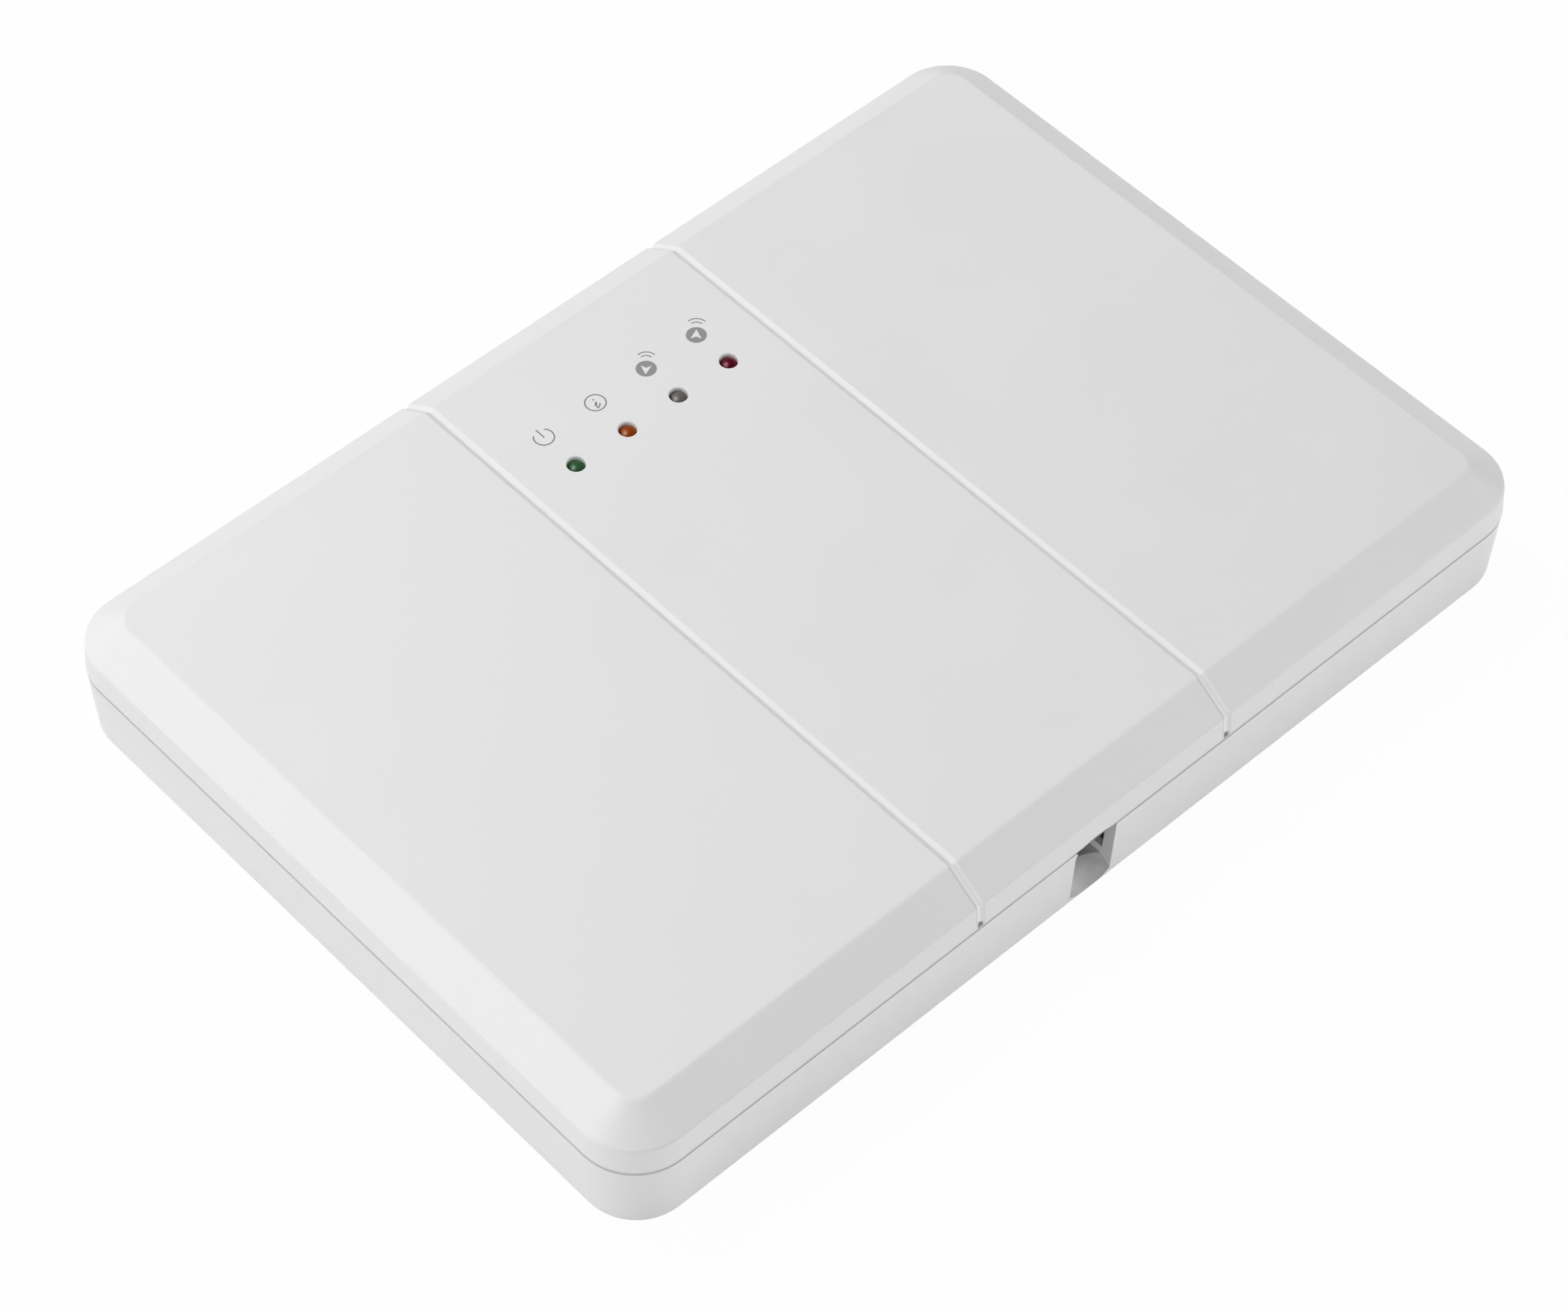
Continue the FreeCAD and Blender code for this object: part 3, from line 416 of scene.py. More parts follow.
def makeMetalGroup():
    # drawn or plated metal: streaks along one direction, blotches of tarnish
    group, start, end = newTree("ShaderNodeTree", "platedMetal", {
        "Coords": (0, 0, 0), "Base": (0.7, 0.7, 0.7, 1), "Tarnish": (0.4, 0.38, 0.34, 1),
        "Stretch": (200.0, 4000.0, 4000.0), "Tarnish Share": 0.25,
        "Gloss Low": 0.22, "Gloss High": 0.42}, finishOuts)
    streak = noise(scaled(start["Coords"], start["Stretch"]), 1.0, 2.0, 0.6)
    blotch = ramp(noise(start["Coords"], 420.0, 3.0, 0.6), 0.45, 0.75)
    share = times(blotch, start["Tarnish Share"])
    feed(mixColour(share, start["Base"], start["Tarnish"]), end["Colour"])
    worn = maths("MAXIMUM", streak, blotch)
    feed(ramp(worn, 0.3, 0.8, start["Gloss Low"], start["Gloss High"]), end["Roughness"])
    feed(streak, end["Height"])
    return group


def makeWeaveGroup():
    # glass cloth under the solder mask, a faint square weave
    group, start, end = newTree("ShaderNodeTree", "glassCloth", {"Coords": (0, 0, 0), "Pitch": 0.0006},
                                {"Height": "Float", "Mottle": "Float"})
    turns = maths("DIVIDE", 2 * math.pi, start["Pitch"])
    waves = [maths("SINE", times(v, turns)) for v in split(start["Coords"])[:2]]
    feed(times(*waves), end["Height"])
    feed(noise(start["Coords"], 55.0, 3.0, 0.6), end["Mottle"])
    return group


mouldGrain = makeGrainGroup()
platedMetal = makeMetalGroup()
glassCloth = makeWeaveGroup()


def newMaterial(name):
    material = bpy.data.materials.new(name)
    tree = freshTree(material)
    shader = addNode(tree, "ShaderNodeBsdfPrincipled")
    addNode(tree, "ShaderNodeOutputMaterial", {"Surface": shader.outputs[0]})
    return material, shader.inputs, addNode(tree, "ShaderNodeTexCoord").outputs


def useGroup(group, coords, values=None):
    return addNode(coords.id_data, "ShaderNodeGroup", dict(values or {}, Coords=coords), node_tree=group).outputs


def bump(shader, height, strength, distance):
    values = {"Strength": strength, "Distance": distance * mm, "Height": height}
    feed(addNode(height.id_data, "ShaderNodeBump", values).outputs["Normal"], shader["Normal"])


def feedAll(shader, values):
    for key, value in values.items():
        feed(value, shader[key])


def mouldedPlastic(name, colour, grainScale=3200.0, tone=0.02, gloss=(0.42, 0.55), dust=0.5, depth=0.02,
                   dustColour=(0.35, 0.34, 0.32, 1)):
    material, shader, texture = newMaterial(name)
    grain = useGroup(mouldGrain, texture["Object"], {
        "Base": colour, "Grain Scale": grainScale, "Grain Tone": tone, "Gloss Low": gloss[0],
        "Gloss High": gloss[1], "Dust": dust, "Dust Colour": dustColour})
    feedAll(shader, {"Base Color": grain["Colour"], "Roughness": grain["Roughness"], "IOR": 1.5})
    bump(shader, grain["Height"], 0.35, depth)
    return material


def metal(name, colour, tarnish, stretch, share, gloss, depth=0.006):
    material, shader, texture = newMaterial(name)
    finish = useGroup(platedMetal, texture["Object"], {
        "Base": colour, "Tarnish": tarnish, "Stretch": stretch, "Tarnish Share": share,
        "Gloss Low": gloss[0], "Gloss High": gloss[1]})
    feedAll(shader, {"Base Color": finish["Colour"], "Roughness": finish["Roughness"], "Metallic": 1.0})
    bump(shader, finish["Height"], 0.25, depth)
    return material


def solderMask(name, low, high, edge=(0.42, 0.36, 0.17, 1)):
    # mask on the two faces, bare laminate on the sawn edges
    material, shader, texture = newMaterial(name)
    cloth = useGroup(glassCloth, texture["Object"])
    tone = ramp(cloth["Mottle"], 0.3, 0.7)
    sawn = maths("LESS_THAN", maths("ABSOLUTE", split(texture["Normal"])[2]), 0.5)
    feedAll(shader, {"Base Color": mixColour(sawn, mixColour(tone, low, high), edge),
                     "Roughness": ramp(tone, 0.0, 1.0, 0.28, 0.4), "Coat Weight": 0.3, "Coat Roughness": 0.15})
    bump(shader, cloth["Height"], 0.12, 0.004)
    return material


def partlyMetal(name, plastic, shine, tarnish, axis, edges):
    # one CAD node of plastic and metal: beyond the edges along the axis it is plated metal
    material, shader, texture = newMaterial(name)
    coords = texture["Object"]
    grain = useGroup(mouldGrain, coords, {"Base": plastic, "Grain Scale": 7000.0, "Grain Tone": 0.3,
                                          "Gloss Low": 0.45, "Gloss High": 0.6, "Dust": 0.25})
    finish = useGroup(platedMetal, coords, {"Base": shine, "Tarnish": tarnish})
    along = split(coords)[axis]
    share = maths("MAXIMUM", maths("LESS_THAN", along, edges[0] * mm), maths("GREATER_THAN", along, edges[1] * mm))
    rough = result(coords.id_data, "ShaderNodeMix", {0: share, 2: grain["Roughness"], 3: finish["Roughness"]})
    feedAll(shader, {"Base Color": mixColour(share, grain["Colour"], finish["Colour"]), "Roughness": rough,
                     "Metallic": share})
    bump(shader, grain["Height"], 0.25, 0.01)
    return material


def clearGlass(name, colour, index):
    material, shader, texture = newMaterial(name)
    rough = ramp(noise(texture["Object"], 900.0), 0.4, 0.8, 0.01, 0.05)
    feedAll(shader, {"Base Color": colour, "Transmission Weight": 1.0, "IOR": index, "Roughness": rough})
    return material


sleeveLook = {
    "film": (0.035, 0.16, 0.36, 1),
    "fold": (0.06, 0.23, 0.46, 1),
    "cellPitch": 14.2,
    "middle": (-70.5, -14.0),
    "puckered": (19.0, 25.6),  # from here to here along the pack, from its middle
    "stretch": (120.0, 900.0, 900.0),
}


def shrinkFilm(name, look):
    # heat-shrink film, drawn in a little between the cells and puckered towards the pack's ends
    material, shader, texture = newMaterial(name)
    coords = texture["Object"]
    x, y = (minus(v, middle * mm) for v, middle in zip(split(coords), look["middle"]))
    wave = maths("COSINE", times(maths("DIVIDE", y, look["cellPitch"] * mm), 2 * math.pi))
    end = ramp(maths("ABSOLUTE", x), *(v * mm for v in look["puckered"]))
    pucker = times(noise(scaled(coords, look["stretch"]), 1.0, 3.0, 0.6), end)
    feedAll(shader, {"Base Color": mixColour(ramp(pucker, 0.35, 0.75), look["film"], look["fold"]),
                     "Roughness": ramp(noise(coords, 160.0, 3.0, 0.6), 0.3, 0.7, 0.16, 0.3),
                     "Coat Weight": 0.4, "Coat Roughness": 0.08})
    bump(shader, plus(times(wave, -0.8), times(pucker, 1.4)), 0.8, 0.5)
    return material


# mouldings and inks: colour, scale and tone of the grain, gloss, dust, depth and the dust's colour
plastics = {
    "blackCase": ((0.018, 0.018, 0.02, 1), 5200.0, 0.25, (0.38, 0.52), 0.35, 0.012, (0.20, 0.19, 0.18, 1)),
    "chipCase": ((0.026, 0.026, 0.028, 1), 7600.0, 0.35, (0.5, 0.66), 0.25, 0.01, (0.16, 0.16, 0.15, 1)),
    "ferriteBlack": ((0.045, 0.043, 0.042, 1), 4200.0, 0.4, (0.55, 0.75), 0.2, 0.02, (0.15, 0.14, 0.13, 1)),
    "naturalNylon": ((0.72, 0.70, 0.62, 1), 2600.0, 0.03, (0.34, 0.46), 0.3, 0.012),
    "keyWhite": ((0.82, 0.82, 0.79, 1), 3600.0, 0.02, (0.36, 0.48), 0.3, 0.01),
    "keyRed": ((0.50, 0.028, 0.02, 1), 3600.0, 0.08, (0.34, 0.46), 0.3, 0.01),
    "terminalGreen": ((0.04, 0.27, 0.085, 1), 3400.0, 0.06, (0.36, 0.5), 0.35, 0.012),
    "switchBlue": ((0.02, 0.075, 0.34, 1), 4200.0, 0.08, (0.36, 0.48), 0.3, 0.01),
    "screenInk": ((0.80, 0.80, 0.76, 1), 6000.0, 0.1, (0.5, 0.65), 0.2, 0.006),
    "lineInk": ((0.20, 0.20, 0.202, 1), 5200.0, 0.12, (0.45, 0.6), 0.2, 0.004),
    "discInk": ((0.285, 0.285, 0.287, 1), 5200.0, 0.08, (0.45, 0.6), 0.2, 0.004),
    "canPrint": ((0.02, 0.02, 0.024, 1), 5200.0, 0.2, (0.4, 0.5), 0.2, 0.004, (0.2, 0.2, 0.2, 1)),
    "mouldDot": ((0.06, 0.06, 0.062, 1), 5000.0, 0.1, (0.2, 0.3), 0.1, 0.005),
    "resistorBlack": ((0.03, 0.03, 0.034, 1), 6000.0, 0.2, (0.3, 0.4), 0.2, 0.006, (0.2, 0.2, 0.2, 1)),
    "ceramicTan": ((0.42, 0.29, 0.17, 1), 6000.0, 0.15, (0.4, 0.52), 0.1, 0.006),
    "tantalumOchre": ((0.62, 0.33, 0.05, 1), 5000.0, 0.08, (0.4, 0.52), 0.2, 0.008),
    "wireRed": ((0.52, 0.02, 0.014, 1), 1800.0, 0.05, (0.26, 0.36), 0.2, 0.01),
    "wireBlack": ((0.02, 0.02, 0.02, 1), 1800.0, 0.1, (0.26, 0.36), 0.2, 0.01, (0.2, 0.19, 0.18, 1)),
    "ledgeShadeGrey": ((0.66, 0.66, 0.655, 1),),  # painted shade: the ledge in the parting line is grey where it lies in shade
    # painted light: pale rings in each lens's tint, for light that comes through the lens
    "ringGreen": ((0.60, 0.70, 0.61, 1), 5200.0, 0.04, (0.4, 0.5), 0.1),
    "ringOrange": ((0.84, 0.66, 0.50, 1), 5200.0, 0.04, (0.4, 0.5), 0.1),
    "ringClear": ((0.70, 0.69, 0.67, 1), 5200.0, 0.04, (0.4, 0.5), 0.1),
    "ringRed": ((0.79, 0.54, 0.56, 1), 5200.0, 0.04, (0.4, 0.5), 0.1),
}

# metals: colour, tarnish, stretch of the streaks, share of tarnish, gloss
metals = {
    "tinPlate": ((0.74, 0.74, 0.71, 1), (0.42, 0.42, 0.40, 1), (900.0, 900.0, 900.0), 0.3, (0.2, 0.38)),
    "zincSteel": ((0.62, 0.62, 0.60, 1), (0.36, 0.35, 0.32, 1), (2500.0, 400.0, 2500.0), 0.35, (0.24, 0.45)),
    "nickelPlate": ((0.72, 0.69, 0.63, 1), (0.45, 0.42, 0.36, 1), (300.0, 3000.0, 3000.0), 0.2, (0.16, 0.3)),
    "goldFlash": ((0.83, 0.58, 0.24, 1), (0.5, 0.34, 0.14, 1), (2000.0, 2000.0, 300.0), 0.15, (0.18, 0.32)),
    "rolledCan": ((0.80, 0.80, 0.81, 1), (0.55, 0.55, 0.56, 1), (1500.0, 1500.0, 300.0), 0.2, (0.2, 0.36)),
    "enamelledCopper": ((0.55, 0.22, 0.08, 1), (0.3, 0.1, 0.04, 1), (600.0, 2500.0, 2500.0), 0.3, (0.18, 0.3)),
}

masks = {
    "boardMask": ((0.012, 0.115, 0.045, 1), (0.02, 0.15, 0.06, 1)),
    "radioMask": ((0.01, 0.055, 0.19, 1), (0.015, 0.075, 0.24, 1)),
    "trackMask": ((0.035, 0.24, 0.095, 1), (0.05, 0.29, 0.12, 1), (0.035, 0.22, 0.09, 1)),
}

# plastic, metal, tarnish, axis, and the two places along it past which the metal starts
partMetals = {
    "regulatorCase": ((0.018, 0.018, 0.02, 1), (0.72, 0.72, 0.70, 1), (0.42, 0.42, 0.40, 1), 1, (-33.12, -26.88)),
    "headerPins": ((0.018, 0.018, 0.02, 1), (0.83, 0.58, 0.24, 1), (0.5, 0.34, 0.14, 1), 2, (0.0, 12.11)),
}

looks = {"fuseGlass": clearGlass("fuseGlass", (0.93, 0.96, 0.95, 1), 1.48),
         "shrinkFilm": shrinkFilm("shrinkFilm", sleeveLook)}
for make, table in ((mouldedPlastic, plastics), (metal, metals), (solderMask, masks), (partlyMetal, partMetals)):
    looks.update({name: make(name, *values) for name, values in table.items()})
print("materials: metals, boards and mouldings ready")


# the two shells
shellLook = {
    "front": (0.815, 0.815, 0.814, 1),
    "back": (0.80, 0.80, 0.799, 1),
    "frontEdge": 14.85,
    "backEdge": 14.4,
    "seam": (0.40, 0.40, 0.39, 1),  # the colour of the painted shade along the parting line and in the grooves
    "seamShare": 0.5,
    "seamReach": (-0.05, 0.45),
    "grooveX": 27.4,
    "grooveHalf": (0.62, 0.82),
    "groove": (0.80, 0.80, 0.799, 1),
    "grooveLitLow": (0.88, 0.88, 0.878, 1),  # painted light: the grooves are painted paler on the lower chamfer, and a little darker on top, for how the light falls in them
    "lowFrom": (-62.8, -62.3),
    "grooveShadeLine": (-0.8, 0.1, 0.32, 0.33),  # painted shade: a thin dark line along one edge of each groove, where its wall lies in shade: its place, core, reach and share
    "entry": (0.53, 0.53, 0.525, 1),  # painted shade on the cable entry's upward faces, which lie in shade under the cover
    "entryBox": ((-6.6, 2.6), (-69.6, -61.0), (-0.1, 14.2)),
    "arch": (-2.0, 1.85, 13.4, -69.3),  # the low arch over the entry: middle, radius, how far out
    # painted shade: the cover under the arch is dark for the shaded opening there
    "archShadeColour": (0.20, 0.20, 0.198, 1),
}


def square(value):
    return maths("POWER", value, 2.0)


def markFront(toned, texture, look):
    # the grooves' painted light and shade, a painted shade line along one edge of each, and painted shade under
    # the arch over the cable entry
    x, y, z = split(texture["Object"])
    aside = maths("ABSOLUTE", minus(maths("ABSOLUTE", x), look["grooveX"] * mm))
    inside = ramp(aside, *(v * mm for v in look["grooveHalf"]), 1.0, 0.0)
    lower = ramp(y, *(v * mm for v in look["lowFrom"]), 1.0, 0.0)
    # painted light: the grooves paler on the lower chamfer
    toned = mixColour(inside, toned, mixColour(lower, look["groove"], look["grooveLitLow"]))
    # painted shade line along one edge of each groove
    where, core, reach, share = look["grooveShadeLine"]
    offset = minus(x, times(maths("SIGN", x), look["grooveX"] * mm))
    apart = maths("ABSOLUTE", minus(offset, where * mm))
    toned = mixColour(times(ramp(apart, core * mm, reach * mm, share, 0.0), lower), toned, look["seam"])
    # painted shade under the arch over the cable entry
    archX, archZ, radius, out = look["arch"]
    far = plus(square(minus(x, archX * mm)), square(minus(z, archZ * mm)))
    under = times(maths("LESS_THAN", far, (radius * mm) ** 2), maths("LESS_THAN", y, out * mm))
    return mixColour(under, toned, look["archShadeColour"])


def markBack(toned, texture, look):
    # painted shade on the cable entry's upward faces, mottled
    share = maths("GREATER_THAN", split(texture["Normal"])[2], 0.2)
    for value, (low, high) in zip(split(texture["Object"]), look["entryBox"]):
        within = times(maths("GREATER_THAN", value, low * mm), maths("LESS_THAN", value, high * mm))
        share = times(share, within)
    patchy = ramp(noise(texture["Object"], 700.0, 3.0, 0.6), 0.3, 0.7, 0.8, 1.0)
    return mixColour(times(share, patchy), toned, look["entry"])


def shellPlastic(name, look, side, way, mark):
    # way: -1 where the seam is the shell's upper edge, 1 where it is the lower one
    material = mouldedPlastic(name, look[side])
    shader, texture = (material.node_tree.nodes[node] for node in ("Principled BSDF", "Texture Coordinate"))
    texture, socket = texture.outputs, shader.inputs["Base Color"]
    # painted shade: each shell darkens towards the parting line, where the gap between the shells lies in shade
    away = times(minus(split(texture["Object"])[2], look[side + "Edge"] * mm), way)
    seam = times(ramp(away, *(v * mm for v in look["seamReach"]), 1.0, 0.0), look["seamShare"])
    toned = mixColour(seam, socket.links[0].from_socket, look["seam"])
    feed(mark(toned, texture, look), socket)
    return material


looks["frontWhite"] = shellPlastic("frontWhite", shellLook, "front", 1, markFront)
looks["backWhite"] = shellPlastic("backWhite", shellLook, "back", -1, markBack)
print("shells: moulded white")

nodeFinishes = {
    "frontWhite": ("front_cover",),
    "backWhite": ("base",),
    "boardMask": ("main_board",),
    "radioMask": ("radio_board",),
    "tinPlate": ("radio_shield", "fuse_clips"),
    "zincSteel": ("terminal_screws",),
    "nickelPlate": ("crystal", "fuse_caps", "battery_cells"),
    "rolledCan": ("capacitors",),
    "enamelledCopper": ("antenna_top", "antenna_side"),
    "blackCase": ("radio_pins", "lamp_spacers", "program_switch", "tamper_switch", "capacitor_feet"),
    "ferriteBlack": ("choke",),
    "naturalNylon": ("antenna_posts", "battery_strap", "battery_socket", "battery_plug"),
    "terminalGreen": ("terminal_block",),
    "switchBlue": ("dip_body",),
    "keyRed": ("program_cap", "jumper_link"),
    "keyWhite": ("tamper_plunger", "dip_key_1", "dip_key_2", "dip_key_3", "dip_key_4"),
    "regulatorCase": ("regulator",),
    "headerPins": ("jumper_header",),
    "fuseGlass": ("fuse_tube",),
    "shrinkFilm": ("battery_sleeve",),
    "wireRed": ("battery_lead_red",),
    "wireBlack": ("battery_lead_black",),
}
for look, names in nodeFinishes.items():
    for materials in (nodes[name].data.materials for name in names):
        materials.clear()
        materials.append(looks[look])
print("nodes: finishes assigned")


# geometry node trees for what repeats
def newGeometry(name, ins):
    sockets = {"Geometry": "Geometry", **ins, "Material": "Material"}
    return newTree("GeometryNodeTree", name, sockets, {"Geometry": "Geometry"})


def endTree(tree, geometry, start, end):
    real = result(tree, "GeometryNodeRealizeInstances", {0: geometry})
    feed(result(tree, "GeometryNodeSetMaterial", {0: real, "Material": start["Material"]}), end[0])
    return tree


def copiesOn(tree, points, shape, **turn):
    return result(tree, "GeometryNodeInstanceOnPoints", {"Points": points, "Instance": shape, **turn})


def shapeOf(tree, socket):
    return addNode(tree, "GeometryNodeObjectInfo", {"Object": socket}).outputs["Geometry"]


def combine(tree, **parts):
    return result(tree, "ShaderNodeCombineXYZ", parts)


def pointRow(tree, start, axis, **rest):
    # points one pitch apart along an axis, with their middle on it
    first = times(times(minus(start["Count"], 1.0), start["Pitch"]), -0.5)
    return result(tree, "GeometryNodeMeshLine", {
        "Count": start["Count"], "Offset": combine(tree, **{axis: start["Pitch"]}),
        "Start Location": combine(tree, **{axis: first}, **rest)})


def flatCurve(tree, mesh):
    path = result(tree, "GeometryNodeMeshToCurve", {0: mesh})
    return result(tree, "GeometryNodeSetCurveNormal", {0: path}, mode="Z_UP")


def sweep(tree, curve, section):
    return result(tree, "GeometryNodeCurveToMesh", {"Curve": curve, "Profile Curve": section, "Fill Caps": True})


def flatSection(tree, start):
    size = {"Width": start["Width"], "Height": start["Thick"]}
    return result(tree, "GeometryNodeCurvePrimitiveQuadrilateral", size)


def makeCopiesTree():
    # copies of one shape on a mesh's points, each turned by its own angle and a little at random
    tree, start, end = newGeometry("copiesOnPoints", {"Shape": "Object", "Wobble": 0.0, "Seed": 3})
    turn = result(tree, "GeometryNodeInputNamedAttribute", {"Name": "turn"}, data_type="FLOAT")
    chance = addNode(tree, "FunctionNodeRandomValue", {
        2: times(start["Wobble"], -1.0), 3: start["Wobble"], "Seed": start["Seed"]}).outputs[1]
    copies = copiesOn(tree, start["Geometry"], shapeOf(tree, start["Shape"]),
                      Rotation=combine(tree, Z=plus(turn, chance)))
    return endTree(tree, copies, start, end)


def makeTracksTree():
    # parallel flat tracks along the edges of a mesh
    tree, start, end = newGeometry("parallelTracks", {
        "Count": 4, "Pitch": 0.0006, "Width": 0.0003, "Thick": 0.00003})
    sections = copiesOn(tree, pointRow(tree, start, "X"), flatSection(tree, start))
    real = result(tree, "GeometryNodeRealizeInstances", {0: sections})
    return endTree(tree, sweep(tree, flatCurve(tree, start["Geometry"]), real), start, end)


def makeLeadsTree():
    # bent leads in a row on two sides of each chip centre, or on four
    tree, start, end = newGeometry("bentLeads", {
        "Lead": "Object", "Count": 6, "Pitch": 0.00127, "Half Span": 0.0027, "Width": 0.0004, "Thick": 0.00015,
        "Sides": 2, "First Turn": 0.0})
    lead = sweep(tree, flatCurve(tree, shapeOf(tree, start["Lead"])), flatSection(tree, start))
    row = copiesOn(tree, pointRow(tree, start, "Y", X=start["Half Span"]), lead)
    real = result(tree, "GeometryNodeRealizeInstances", {0: row})
    # one point for each side, all at the centre
    hub = result(tree, "GeometryNodeMeshLine", {"Count": start["Sides"], "Offset": (0, 0, 0)})
    turn = times(result(tree, "GeometryNodeInputIndex"), maths("DIVIDE", 2 * math.pi, start["Sides"]))
    sides = copiesOn(tree, hub, real, Rotation=combine(tree, Z=plus(turn, start["First Turn"])))
    return endTree(tree, copiesOn(tree, start["Geometry"], sides), start, end)


def makeCoilTree():
    # a close winding of round wire on each point
    tree, start, end = newGeometry("wireCoil", {
        "Turns": 6.0, "Radius": 0.004, "Height": 0.0026, "Wire Radius": 0.0002})
    spiral = result(tree, "GeometryNodeCurveSpiral", {
        "Resolution": 48, "Rotations": start["Turns"], "Start Radius": start["Radius"],
        "End Radius": start["Radius"], "Height": start["Height"]})
    wire = result(tree, "GeometryNodeCurvePrimitiveCircle", {"Resolution": 10, "Radius": start["Wire Radius"]})
    return endTree(tree, copiesOn(tree, start["Geometry"], sweep(tree, spiral, wire)), start, end)


def makeScatterTree():
    # copies of one shape scattered over faces, never nearer than the given gap
    tree, start, end = newGeometry("scatterOnFaces", {
        "Shape": "Object", "Gap": 0.003, "Density": 90000.0, "Seed": 11})
    points = result(tree, "GeometryNodeDistributePointsOnFaces", {
        "Mesh": start["Geometry"], "Distance Min": start["Gap"], "Density Max": start["Density"],
        "Seed": start["Seed"]}, distribute_method="POISSON")
    return endTree(tree, copiesOn(tree, points, shapeOf(tree, start["Shape"])), start, end)


copiesTree = makeCopiesTree()
tracksTree = makeTracksTree()
leadsTree = makeLeadsTree()
coilTree = makeCoilTree()
scatterTree = makeScatterTree()
print("geometry nodes: five trees built")


def evaluated(thing):
    return bpy.data.meshes.new_from_object(thing.evaluated_get(bpy.context.evaluated_depsgraph_get()))


def grow(name, mesh, tree, values, look, smooth=False):
    # runs a tree on a mesh and gives back the result as a plain mesh
    seed = newObject(name + "Seed", mesh)
    modifier = seed.modifiers.new("grow", "NODES")
    modifier.node_group = tree
    values = dict(values, Material=looks[look])
    for item in tree.interface.items_tree:
        if item.in_out == "INPUT" and item.name in values:
            modifier[item.identifier] = values[item.name]
    made = evaluated(seed)
    made.name = name
    seed.modifiers.clear()
    bpy.data.objects.remove(seed)
    shade(made, smooth)
    return made


def spots(name, seats, z):
    # seats: (x, y) or (x, y, turn in degrees)
    mesh = bpy.data.meshes.new(name)
    mesh.from_pydata([(seat[0] * mm, seat[1] * mm, z * mm) for seat in seats], [], [])
    turn = mesh.attributes.new("turn", "FLOAT", "POINT")
    turn.data.foreach_set("value", [math.radians(seat[2]) if len(seat) > 2 else 0.0 for seat in seats])
    return mesh


def stamp(name, build):
    # a shape for the trees to copy; it is taken away again before the end
    return newObject(name + "Stamp", meshFrom(name + "Stamp", build))


def pathMesh(name, points):
    # a line for the trees to sweep
    path = bpy.data.meshes.new(name)
    steps = [(i, i + 1) for i in range(len(points) - 1)]
    path.from_pydata([[v * mm for v in point] for point in points], steps, [])
    return path


def copiesMesh(name, build, seats, z, look, wobble=0.0, seed=3, smooth=False):
    shape = stamp(name, build)
    values = {"Shape": shape, "Wobble": wobble, "Seed": seed}
    made = grow(name, spots(name, seats, z), copiesTree, values, look, smooth)
    bpy.data.objects.remove(shape)
    return made


def copyPiece(name, build, seats, z, look, slot=None, **options):
    return place(name, copiesMesh(name, build, seats, z, look, **options))


def joinMeshes(name, meshes, look):
    bm = bmesh.new()
    for mesh in meshes:
        bm.from_mesh(mesh)
    whole = bpy.data.meshes.new(name)
    bm.to_mesh(whole)
    bm.free()
    whole.materials.append(looks[look])
    for polygon in whole.polygons:
        polygon.material_index = 0
    return whole


# linings of the grooves and of the parting line
liningLook = {
    "grooves": (-27.4, 27.4),
    "half": 1.0,
    "depth": 0.42,
    "thick": 0.3,
    "section": ((-69.5, 14.87), (-69.05, 20.0), (-62.55, 24.4), (62.55, 24.4), (69.05, 20.0), (69.5, 14.87)),
    "rounds": (0.8, 1.2, 1.2, 0.8),
    "columns": (5, 8, 5),
    "notchHalf": 0.55,  # the pry notch at the lower rim stays open
    "notchTop": 15.74,
    "ledge": (99.85, 69.35, 10.25),  # half length, half width and corner radius of the seam's ledge
    "ledgeDeep": 1.0,
    "ledgeZ": (14.395, 14.84),
    "entry": (-6.5, 2.5),
}


def roundedPath(section, rounds, steps=5):
    # points along the section with its corners rounded, each with its normal into the material
    ways = []
    for (ay, az), (by, bz) in zip(section, section[1:]):
        far = math.hypot(by - ay, bz - az)
        ways.append(((by - ay) / far, (bz - az) / far))
    path = [(section[0], (ways[0][1], -ways[0][0]))]
    for (cy, cz), radius, one, two in zip(section[1:], rounds, ways, ways[1:]):
        a, b = math.atan2(-one[0], one[1]), math.atan2(-two[0], two[1])
        reach = radius * math.tan((a - b) / 2)
        oy, oz = cy - one[0] * reach + math.cos(a) * radius, cz - one[1] * reach + math.sin(a) * radius
        for k in range(steps + 1):
            t = a + (b - a) * k / steps
            path.append(((oy - math.cos(t) * radius, oz - math.sin(t) * radius), (math.cos(t), math.sin(t))))
    return path + [(section[-1], (ways[-1][1], -ways[-1][0]))]


def makeGrooveLinings(look):
    half, notch = look["half"], look["notchHalf"]
    (ay, az), (by, bz) = look["section"][:2]
    foot = look["notchTop"]
    above = ((ay + (by - ay) * (foot - az) / (bz - az), foot),) + look["section"][1:]
    strips = ((-half, -notch, look["section"]), (-notch, notch, above), (notch, half, look["section"]))

    def build(bm):
        for middle in look["grooves"]:
            for (first, last, section), columns in zip(strips, look["columns"]):
                path = roundedPath(section, look["rounds"])
                across = [first + (last - first) * j / columns for j in range(columns + 1)]
                dips = [look["depth"] * math.cos(math.pi / 2 * x / half) ** 2 for x in across]
                addSheet(bm, *([[(middle + x, py + ny * (dip + extra), pz + nz * (dip + extra))
                                 for x, dip in zip(across, dips)] for (py, pz), (ny, nz) in path]
                               for extra in (0.0, look["thick"])))

    makePiece("grooveLinings", build, "frontWhite", "cover")


